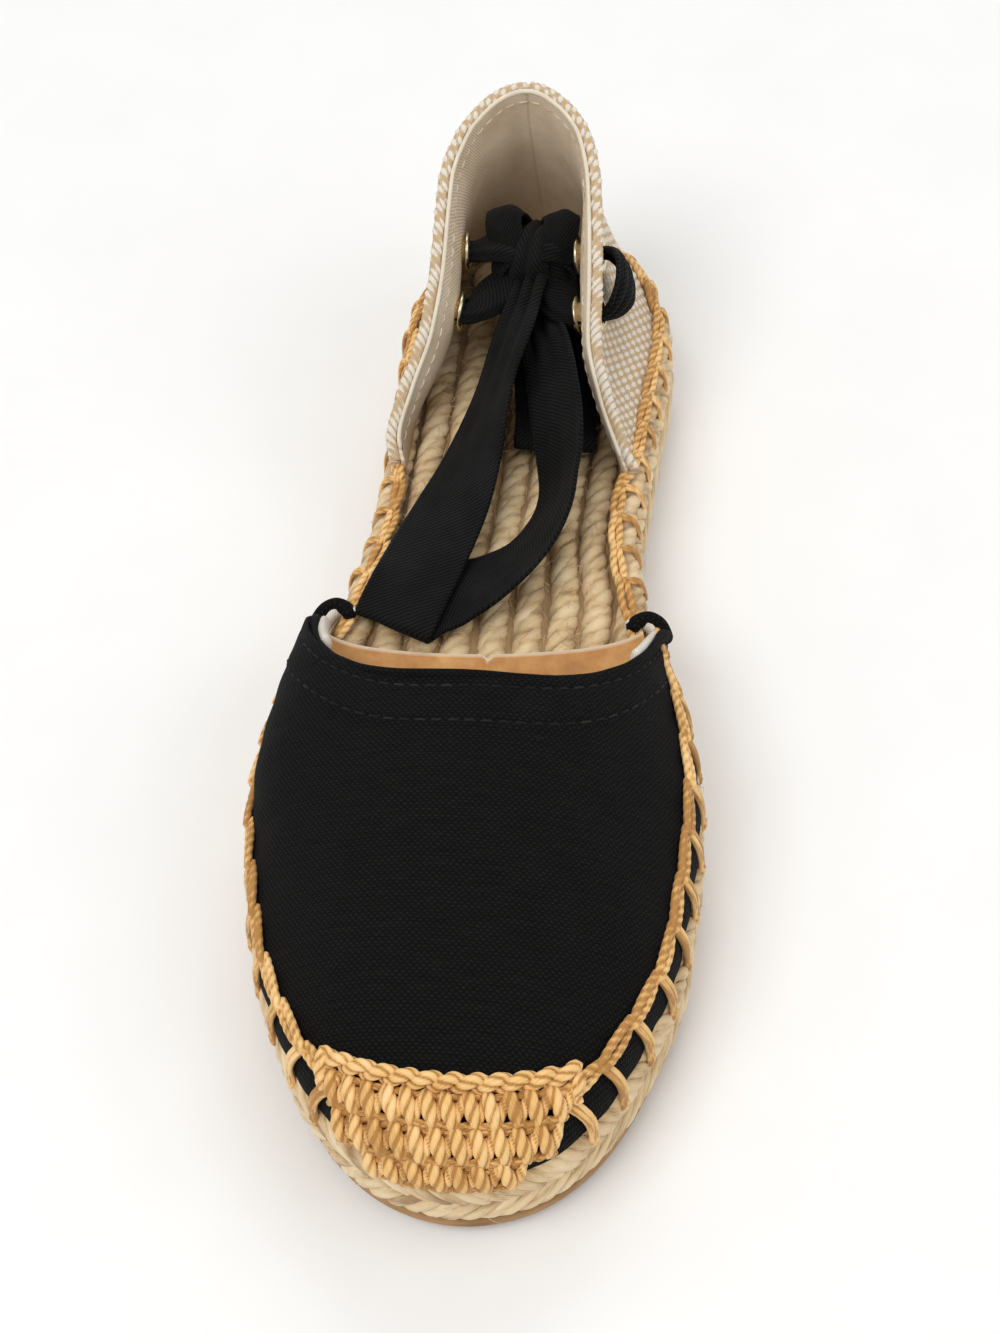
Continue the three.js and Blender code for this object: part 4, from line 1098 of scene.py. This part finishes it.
def add_hem_stitches():
    """Two rows of stitches follow the throat's edge."""
    phi = np.linspace(0.10, np.pi - 0.10, 360)
    patches = []
    for distance in STITCH_ROWS:
        angle = vamp_angles(np.array([distance]), phi)
        s = station_at(angle)
        rise = vamp_soft(np.full_like(angle, distance), phi, s)
        line = vamp_flare(vamp(angle, phi, rise), distance, phi, s)[0]
        above = vamp_flare(vamp(angle, phi, rise + 0.5), distance, phi, s)[0]
        patches.append(stitch_run(line, unit(above - line), 2.5, 0.75, 0.27, 0.24))
    piece("Hem_stitches", patches, BLACK_THREAD)


add_throat_roll()
add_hem_stitches()


# ---- honey cords ----
CORD = 0.98  # radius of the honey cord
# stations, and the chain's height over the canvas's foot at each
LATERAL_CHAIN = [124, 150, 172, 196, 228, 238], [2.2, 3.0, 6.4, 9.6, 10.2, 11.2]
MEDIAL_CHAIN = [124, 130, 145, 190, 228, 238], [3.6, 8.6, 10.8, 10.8, 10.4, 11.2]
LEG_PROUD = 0.75  # how far a leg's middle lies off the cloth


def on_vamp(s, side, height):
    """A point of the canvas a height above its foot, and the outward direction there."""
    angle = angle_at(s)
    crown = crown_height(s) * arch_closing(angle)
    phi = np.arcsin(np.clip(height / crown, 0, 1) ** (1 / arch_power(s)))
    phi = np.where(side < 0, phi, np.pi - phi)
    at = vamp(angle, phi, 0.0)
    return at, unit(vamp(angle, phi, 1.0) - at)


def chain(points, normals, link, radius=CORD, spread=1.0, raise_by=0.75):
    """Chain stitch along a line: each link is a long eye of two strands that starts under the last link's
    end and closes over the next one's start. Returns the cords and how far along the line each node between
    two links lies."""
    run = run_along(points)
    count = max(1, round(run[-1] / link))
    link = run[-1] / count
    t = np.linspace(0, 1, 16)
    at = (np.arange(count)[:, None] + t * 1.22 - 0.08) * link
    inside = np.clip(at, 0, run[-1])
    line = read_line(inside, run, points)
    out = unit(read_line(inside, run, normals))
    along = unit(np.gradient(line, axis=1))
    across = np.cross(along, out)
    high = raise_by + radius * (1.0 * t - 0.35) - 1.1 * radius * (t > 0.97)
    eye = spread * np.sin(np.pi * np.clip(t * 1.02, 0, 1)) ** 0.75 * (1.05 - 0.25 * t) + 0.12
    patches = []
    for side in (-1, 1):
        wander = 0.12 * rng.standard_normal((count, 1, 1))
        up = high + 0.18 * side * np.cos(np.pi * t)
        path = line + out * up[None, :, None] + across * (side * eye[None, :, None] + wander)
        patches.append(tubes(path, out, radius * (0.92 + 0.1 * np.sin(np.pi * t)), radius * 0.85, sides=10,
                             plies=2, twist=1.5, tint=rng.uniform(-0.5, 0.5, count)))
    return patches, np.clip(np.arange(count + 1) * link, 0, run[-1])


def leg_cords(paths, outs, radius=0.78, pair=0.6):
    """A leg of the stitch is two strands side by side along its path, closing up where they sink in."""
    along = unit(np.gradient(paths, axis=1))
    across = np.cross(along, unit(outs))
    t = np.linspace(0, 1, paths.shape[1])
    patches = []
    for side in (-1, 1):
        path = paths + across * (side * pair * (1 - 0.35 * t))[None, :, None]
        patches.append(tubes(path, outs, radius, radius * 0.85, sides=10, plies=2, twist=1.5,
                             tint=rng.uniform(-0.5, 0.4, len(paths))))
    return patches


def chain_height(s, side):
    """The chain lies about 10 mm above the canvas's foot; on the lateral side it drops under the canvas's
    bulge toward the throat."""
    return np.interp(s, *(LATERAL_CHAIN if side < 0 else MEDIAL_CHAIN))


def add_vamp_stitching():
    """Chain stitch along both sides of the canvas with a leg from each node down into the braid."""
    patches = []
    stations = station_at(np.linspace(0, np.pi, HALF_RING))
    for side, last in ((LATERAL, 236.2), (MEDIAL, 236.6)):
        s = np.linspace(THROAT_CORNER + 0.5, last, 400)
        line, out = on_vamp(s, side, chain_height(s, side))
        made, node_at = chain(line, out, LINK)
        patches += made
        node_s = np.interp(node_at, run_along(line), s)[1:]
        t = np.linspace(0, 1, 7)
        high = chain_height(node_s, side)[:, None] * (1 - t)
        leg_s = node_s[:, None] + 0.25 * t
        upper, upper_out = on_vamp(np.clip(leg_s, THROAT_CORNER, 246), side, np.maximum(high, 0.3))
        upper = upper + upper_out * LEG_PROUD
        if side < 0:
            base = np.interp(leg_s[:, -1], stations, RING_LENGTH[:HALF_RING])
        else:
            base = GIRTH - np.interp(leg_s[:, -1], stations, GIRTH - RING_LENGTH[::-1][:HALF_RING])
        down = np.linspace(0, 1, 6)[1:]
        low_z = 19.6 - 5.2 * down
        sink = np.array([-0.6, -LEG_PROUD, -0.6, 0.1, 1.6])
        lower, lower_out = round_sole(base[:, None] - side * 0.2 * down, side_inset(low_z) + sink, low_z)
        paths = np.concatenate([upper, lower], 1)
        outs = np.concatenate([upper_out, lower_out], 1)
        patches += leg_cords(paths, outs)
    piece("Vamp_chain_stitch", patches, HONEY)


add_vamp_stitching()


def add_edge_stitching():
    """The same stitch runs along the bare waist and round the counter's foot, on the braid's outer row, with
    legs out over the edge."""
    w = np.linspace(-150, 150, 900)
    at, _ = round_sole(w, 5.0, 0)
    s = HEEL_Y - at[:, 1]
    waist = s < 130.5
    w, s = w[waist], s[waist]
    behind = smooth((86 - s) / 8)
    inset = 5.3 - 2.0 * behind
    height = SOLE_TOP + 0.55 + 0.2 * behind
    line, out = round_sole(w, inset, height)
    normal = unit(THROUGH + out * (0.15 + 0.9 * behind)[:, None])
    patches, node_at = chain(line, normal, 9.2, radius=0.85, spread=0.75, raise_by=0.5)
    node_w = np.interp(node_at, run_along(line), w)[1:-1]
    node_inset = np.interp(node_w, w, inset)
    t = np.linspace(0, 1, 12)
    turn = np.clip(t * 1.9, 0, np.pi / 2)
    leg_inset = node_inset[:, None] + (-0.35 - node_inset[:, None]) * np.sin(turn) ** 1.2
    leg_z = 24.75 + 0.9 - 1.3 * t - 7.6 * smooth((t - 0.35) / 0.65)
    leg_inset = leg_inset + 2.0 * smooth((t - 0.86) / 0.14) + np.interp(leg_z, [14, 20, 24], [0.5, 0.5, 0.4])
    paths, outs = round_sole(node_w[:, None] + 0.9 * t, leg_inset, leg_z)
    outs = unit(outs * np.sin(turn)[None, :, None] + THROUGH * np.cos(turn)[None, :, None])
    patches += leg_cords(paths, outs, radius=0.55, pair=0.45)
    piece("Waist_and_heel_stitch", patches, HONEY)


add_edge_stitching()


# ---- crochet toe cap ----
HALVINGS = 36


def toe_front(x, z, grow):
    """The toe's outside at a place across and a height: found by halving on the angle, where the arch (or
    below it the sole's edge) is exactly x wide at that height."""
    x, z = np.broadcast_arrays(np.asarray(x, float), np.asarray(z, float))
    side = np.where(x < 3.3, LATERAL, MEDIAL)
    low, high = np.full(x.shape, angle_at(212.0)), np.full(x.shape, np.pi - 1e-4)
    for _ in range(HALVINGS):
        angle = (low + high) / 2
        s = station_at(angle)
        power = arch_power(s)
        crown = (crown_height(s) + grow) * arch_closing(angle)
        rise = np.clip((z - VAMP_FOOT - lift(s)) / np.maximum(crown, 1e-3), 0, 1.3)
        swing = np.sqrt(np.maximum(0, 1 - np.minimum(rise, 1) ** (2 / power))) ** power
        below = z < VAMP_FOOT + lift(s)
        inset = np.where(below, side_inset(z - lift(s)) + 0.1, VAMP_INSET) - grow
        left, right = edge(angle, LATERAL, inset), edge(angle, MEDIAL, inset)
        swing = np.where(below, 1.0, swing)
        reach = left[..., 0] + (right[..., 0] - left[..., 0]) * (1 + side * swing) / 2
        outside = (reach - x) * side > 0
        outside &= rise < 1
        low, high = np.where(outside, angle, low), np.where(outside, high, angle)
    at_s = left[..., 1] + (right[..., 1] - left[..., 1]) * (1 + side * swing) / 2
    return place(x, at_s, z)


def toe_face(x, z, grow):
    """Points of the toe's outside with the outward direction, from the differences of nearby points."""
    at = toe_front(x, z, grow)
    near = 0.6
    wide = toe_front(x + near, z, grow) - toe_front(x - near, z, grow)
    tall = toe_front(x, z + near, grow) - toe_front(x, z - near, grow)
    normal = unit(np.cross(wide, tall))
    return at, np.where(normal[..., 1:2] > 0, -normal, normal)


# start and end below the chain along the toe's surface, half width, stitches
CAP_ROWS = [(1.5, 7.3, 21.4, 12), (7.7, 13.6, 19.6, 11), (13.9, 19.6, 13.6, 7)]
# lean, radius, share of the pitch, bow of the two strands of a bar
CAP_BARS = [(1.9, 1.36, 0.34, 1.8), (-1.9, 0.98, 0.84, 1.2)]
CHAIN_HALF, CHAIN_HEIGHT, CHAIN_FALL = 22.3, 37.5, 3.2
CAP_FOOT = 11.0


def chain_top(x):
    """Height of the chain along the cap's top, falling toward its ends by a power of x."""
    return CHAIN_HEIGHT - CHAIN_FALL * np.abs((x - CAP_CENTRE) / (CHAIN_HALF + 0.3)) ** 2.4


def toe_levels():
    """Height against distance below the chain, for columns across the toe: the toe's face is followed down
    from the chain and its length added up."""
    x = np.linspace(CAP_CENTRE - 25, CAP_CENTRE + 25, 60)
    top, above = chain_top(x), 1.5
    z = top[:, None] + above + (CAP_FOOT - top[:, None] - above) * np.linspace(0, 1, 90)
    run = run_along(toe_front(x[:, None], z, 0.0)[..., 1:], 1)
    down = np.linspace(-0.5, 24, 50)
    start = [np.interp(-high, -row, far) for high, row, far in zip(top, z, run)]
    return x, down, np.stack([np.interp(down + begin, far, row) for begin, far, row in zip(start, run, z)])


TOE_X, TOE_DOWN, TOE_Z = toe_levels()


def below_chain(x, down):
    """The height that lies the given distance below the chain, between the nearest columns and rows."""
    x, down = np.broadcast_arrays(x, down)
    i = np.clip((x - TOE_X[0]) / (TOE_X[1] - TOE_X[0]), 0, len(TOE_X) - 1.001)
    j = np.clip((down - TOE_DOWN[0]) / (TOE_DOWN[1] - TOE_DOWN[0]), 0, len(TOE_DOWN) - 1.001)
    a, b, f, g = i.astype(int), j.astype(int), i % 1, j % 1
    return ((TOE_Z[a, b] * (1 - f) + TOE_Z[a + 1, b] * f) * (1 - g)
            + (TOE_Z[a, b + 1] * (1 - f) + TOE_Z[a + 1, b + 1] * f) * g)


def two_ply(at, out, aside, turn, high, swings, wide, swell=0.0, thick=None, **look):
    """Two strands wound round one line: each swings out by a cosine of the turn and aside by its sine,
    half a turn apart, and is wider by the swell where it is on top."""
    patches = []
    for half_turn in (0, np.pi):
        cos, sin = np.cos(turn + half_turn), np.sin(turn + half_turn)
        path = at + out * (high + swings[0] * cos)[:, None] + aside * (swings[1] * sin)[:, None]
        patches.append(tubes(path[None], out[None], wide * (1 + swell * cos)[None], thick, **look))
    return patches


def add_toe_cap():
    """Crochet in three rows of bars, each a fat twisted strand leaning one way with a thinner one leaning
    back beside it, over a base of laid cords, and a two-ply chain along the top."""
    patches = []
    t = np.linspace(0, 1, 16)
    for high, low, half, count in CAP_ROWS:
        pitch = 2 * half / count
        k = np.arange(count)[:, None]
        shift = rng.uniform(-0.25, 0.25, (count, 1))
        drop = rng.uniform(-0.3, 0.3, (count, 1))
        for lean, size, offset, bow in CAP_BARS:
            x = CAP_CENTRE - half + (k + offset) * pitch + shift + lean * (t - 0.5)
            z = below_chain(x, high + drop + (low - high + 0.5) * t)
            at, out = toe_face(x, z, 0.4)
            arch = 0.2 + bow * np.sin(np.pi * t) ** 0.55
            fat = 0.72 + 0.36 * np.sin(np.pi * np.clip(t * 1.05, 0, 1)) ** 0.8
            patches.append(tubes(at + out * arch[None, :, None], out, size * fat, size * 0.85, sides=14,
                                 plies=3, twist=np.sign(lean) / size, tint=rng.uniform(-0.3, 0.5, count)))
        x = CAP_CENTRE + np.linspace(-half + 0.4, half - 0.4, 90)
        laid = (low + 0.1, 1.0, 1.0), ((high + low) / 2, 1.5, 0.15), (high + 0.9, 1.1, 0.2)
        for level, size, proud in laid:
            at, out = toe_face(x, below_chain(x, level + 0 * x), 0.4)
            # painted shade: the laid cords under and between the bars get a lower tint than the bars of the
            # same yarn
            patches += two_ply(at, out, THROUGH, 2 * np.pi * x / 3.9, proud, (0.5 * size, 0.45 * size),
                               size * 0.66, sides=10, plies=3, twist=1.6, tint=-0.35)
    run = np.linspace(-1.2, 1.2, 230)
    x = CAP_CENTRE + CHAIN_HALF * np.clip(run, -1, 1)
    at, out = toe_face(x, below_chain(x, 26.0 * np.maximum(0, np.abs(run) - 1)), 0.3)
    up_the_toe = np.array([0, 0.5, 0.85])
    patches += two_ply(at, out, up_the_toe, 2 * np.pi * run * CHAIN_HALF / 8.0, 1.35, (0.8, 1.0), 1.22,
                       swell=0.12, thick=1.0, sides=14, plies=3, twist=0.9, tint=0.2)
    piece("Crochet_toe_cap", patches, HONEY, ["toe_cap"])


add_toe_cap()


# ---- heel counter ----
# depth into the wall and height over the rim, where the woven face is folded over it
OVER_THE_RIM = np.array([
    [0.25, 0.35], [0.6, 0.55], [1.0, 0.62], [1.4, 0.6], [1.75, 0.45], [2.0, 0.1], [2.1, -0.5]])
LINING_HALF_GIRTH = 105
LINING_DEPTH = 2.15  # where in the wall the lining begins


def rim_station(u):
    """The station of the rim at u."""
    share = (1 - np.cos(np.abs(u) * COUNTER_REACH)) / (1 - np.cos(COUNTER_REACH))
    return RIM_BACK + (COUNTER_FRONT - RIM_BACK) * share


def add_counter():
    """The woven face goes from the foot up, over a round rim and a little way down inside; its yarns stand
    out by a product of sines of the cloth's own lengths. The lining is a thinner wall inside it."""
    u = np.linspace(-1, 1, 470)
    v_rows = np.concatenate([np.linspace(0, 0.965, 78), [0.975, 0.985, 0.993, 1.0]])
    over_depth, over_up = OVER_THE_RIM.T
    v_all = np.concatenate([v_rows, np.ones(len(OVER_THE_RIM))])
    depth_all = np.concatenate([0 * v_rows, over_depth])
    base = counter(u[None], v_all[:, None], depth_all[:, None])
    base[..., 2] += np.concatenate([0 * v_rows, over_up])[:, None]
    across = run_along(base, 1)
    across = across - across[:, len(u) // 2][:, None]
    mid = across[len(v_rows) // 2]
    rising = run_along(base)
    cloth_u = 0.5 * across + 0.5 * mid[None] + 0.35 * wave(rising / 6, 31) + 0.2 * wave(across / 4, 32)
    rising = rising + 0.35 * wave(across / 5, 33)
    normal = unit(np.cross(np.gradient(base, axis=1), np.gradient(base, axis=0)))
    centre = base.reshape(-1, 3).mean(0)
    if ((base[40] - centre) * normal[40]).sum() < 0:
        normal = -normal
    a, b = np.sin(np.pi * cloth_u / WEAVE_PITCH), np.sin(np.pi * rising / WEAVE_PITCH)
    yarn = 0.34 * (np.abs(a) ** 0.6 * np.abs(b) ** 0.6) + 0.12 * np.sign(a * b) * np.abs(a * b) ** 0.5
    seam = -0.5 * np.exp(-(across / 0.5) ** 2)
    outer = base + normal * (yarn + seam)[..., None]
    inner_v = np.minimum(v_all, 0.985)
    inner = counter(u[None], inner_v[:, None], np.minimum(depth_all[:, None] + 1.9, LINING_DEPTH))
    uv = np.stack([cloth_u, rising], -1)
    piece("Counter_weave", [shell(outer, inner, uv)], WEAVE, ["heel_counter"], weld=True)
    v = np.concatenate([np.linspace(0, 0.94, 50), [0.96, 0.975, 0.985, 0.992]])[:, None]
    u = np.linspace(-1, 1, 260)[None]
    face, back = counter(u, v, COUNTER_WALL), counter(u, v, LINING_DEPTH)
    cloth = np.stack(np.broadcast_arrays(u * LINING_HALF_GIRTH, v * LINING_HEIGHT), -1)
    back_seam = 0.45 * np.exp(-(u / 0.006) ** 2)
    slack = 0.18 * np.sin(u * 22) * np.sin(np.pi * v) - back_seam
    face = face + unit(face - back) * slack[..., None]
    piece("Counter_lining", [shell(face, back, cloth)], LINING, weld=True)
    rim = np.linspace(-0.985, 0.985, 420)
    line = counter(rim, 0.994, 2.75)
    line[..., 2] += 0.25
    inside = unit(counter(rim, 0.99, COUNTER_WALL) - counter(rim, 0.99, 2.0))
    below_rim = 3.2 / np.maximum(8, rim_height(rim_station(rim)) - COUNTER_FOOT)
    seam_line = counter(rim, 1 - below_rim, COUNTER_WALL)
    piece("Rim_binding", [tubes(line[None], inside[None], 0.62, 0.5, sides=8, tint=0.4),
                          stitch_run(seam_line, inside, 2.3, 0.7, 0.26, 0.22)], CREAM_THREAD)


add_counter()


# ---- forefoot sock ----
def add_sock():
    """Thin leather on the footbed: straight lines across between the vamp's two walls, turned up along the
    sides, its back edge lifted a little, with a short crease by the middle."""
    across = np.linspace(-1, 1, 110)
    along = np.concatenate([np.linspace(0, 0.05, 12), np.linspace(0.06, 1, 60)])
    left, right = (edge(start + (np.pi - start) * along, side, 4.0)
                   for start, side in ((angle_at(130.6), LATERAL), (angle_at(126.8), MEDIAL)))
    x = left[:, None, 0] + (right - left)[:, None, 0] * (across + 1) / 2
    s = left[:, None, 1] + (right - left)[:, None, 1] * (across + 1) / 2
    s = s + 2.4 * (1 - across**2) * (1 - along[:, None])
    nick = 0.03
    s = s + 1.6 * (np.exp(-((across - nick) / 0.02) ** 2) * np.exp(-along[:, None] / 0.03))
    back_lift = 0.9 * np.exp(-along / 0.035)[:, None]
    side_lift = 3.0 * np.abs(across) ** 9 * (1 - 0.3 * along[:, None])
    crease = 0.3 * np.exp(-((across - nick) / 0.012) ** 2) * np.exp(-along[:, None] / 0.08)
    z = SOLE_TOP + 0.75 + footbed(across, s) + lift(s) + back_lift + side_lift
    z = z + 0.18 * np.sin(x / 3.2) * np.sin(s / 6.0) + crease
    top_face = place(x, s, z + 0.6)
    under = place(x, s, z - 0.35)
    tint = np.clip(1.25 - run_along(top_face) / 0.7, 0, 1)
    made = shell(top_face, under, np.stack([x, s], -1), tint)
    piece("Forefoot_sock", [made], LEATHER, ["forefoot_sock"], weld=True)


add_sock()


# ---- loose fibres ----
BRAID_HAIRS, FOOTBED_HAIRS = 420, 620


def add_fibres():
    """Short hairs stand out of the braid at random places, each a bent line of tapering radius."""
    count = BRAID_HAIRS
    w = rng.uniform(0, GIRTH, count)
    z = rng.uniform(4, 19, count)
    start, out = round_sole(w, side_inset(z) + 0.4, z)
    t = np.linspace(0, 1, 6)[None, :, None]
    length = rng.uniform(1.5, 4.5, (count, 1, 1))
    aside, up = rng.uniform(-1, 1, (count, 1)), rng.uniform(-0.6, 1, (count, 1))
    sideways = unit(np.cross(out, THROUGH) * aside + THROUGH * up)
    path = start[:, None] + out[:, None] * length * 0.4 * np.sin(2.2 * t) + sideways[:, None] * length * t
    path[..., 2] = np.maximum(path[..., 2], 1.0)
    taper = 1.1 - t[..., 0]
    patches = [tubes(path, out[:, None], 0.085 * taper, sides=3, tint=rng.uniform(-0.2, 0.8, count))]
    count = FOOTBED_HAIRS
    s = rng.uniform(12, 150, count)
    x = rng.uniform(-22, 22, count)
    start = place(x, s, SOLE_TOP + footbed(x / 30, s) + lift(s) - 0.2)
    heading = rng.uniform(0, 2 * np.pi, count)
    flat = np.stack([np.cos(heading), np.sin(heading), 0 * heading], -1)
    length = rng.uniform(2, 5, (count, 1, 1))
    bow = np.sin(np.pi * t * 0.9) * rng.uniform(0.4, 1.3, (count, 1, 1))
    path = start[:, None] + flat[:, None] * length * t + THROUGH * bow
    patches.append(tubes(path, THROUGH, 0.08 * taper, sides=3, tint=rng.uniform(-0.2, 0.8, count)))
    piece("Jute_fibres", patches, JUTE)


add_fibres()


# ---- floor and light ----
FLOOR_HALF = 8
# name, place, size, power; each lamp looks at the shoe's middle
LAMPS = [("key", (-0.55, -0.75, 1.5), 1.0, 13.0), ("fill", (1.1, -0.3, 1.2), 1.2, 5.0),
         ("back", (0.1, 1.2, 1.5), 1.0, 7.0)]
SKY_COLOUR, SKY_STRENGTH = (1.0, 0.995, 0.985, 1), 0.52


def add_floor():
    """A wide, flat, pale floor: a square grid at height 0."""
    x = np.linspace(-FLOOR_HALF, FLOOR_HALF, 41)
    points = np.stack(np.broadcast_arrays(x[:, None], x[None], 0.0), -1).reshape(-1, 3)
    mesh = bpy.data.meshes.new("floor")
    mesh.from_pydata(points.tolist(), [], grid_quads(len(x), len(x)).tolist())
    n = Nodes("pale_floor")
    grain = n.noise(n.here(), 30.0, 2.0)
    colour = n.ramp(grain, [(0.3, (0.90, 0.90, 0.895)), (0.7, (0.92, 0.92, 0.915))])
    mesh.materials.append(n.finish(colour, 0.9, grain, 0.02, 0.0005, Specular_IOR_Level=0.1))
    floor = bpy.data.objects.new("floor", mesh)
    bpy.context.scene.collection.objects.link(floor)


def add_light(name, where, size, power):
    """A round soft lamp that looks at the shoe's middle."""
    lamp = bpy.data.lights.new(name, "AREA")
    lamp.shape = "DISK"
    lamp.size = size
    lamp.energy = power
    light = bpy.data.objects.new(name, lamp)
    light.location = where
    light.rotation_euler = (-Vector(where)).to_track_quat("-Z", "Y").to_euler()
    bpy.context.scene.collection.objects.link(light)


add_floor()
for lamp in LAMPS:
    add_light(*lamp)
world = bpy.data.worlds.new("studio")
world.use_nodes = True
sky = world.node_tree.nodes["Background"].inputs
sky["Color"].default_value, sky["Strength"].default_value = SKY_COLOUR, SKY_STRENGTH
bpy.context.scene.world = world
bpy.context.scene.view_settings.view_transform = "Standard"
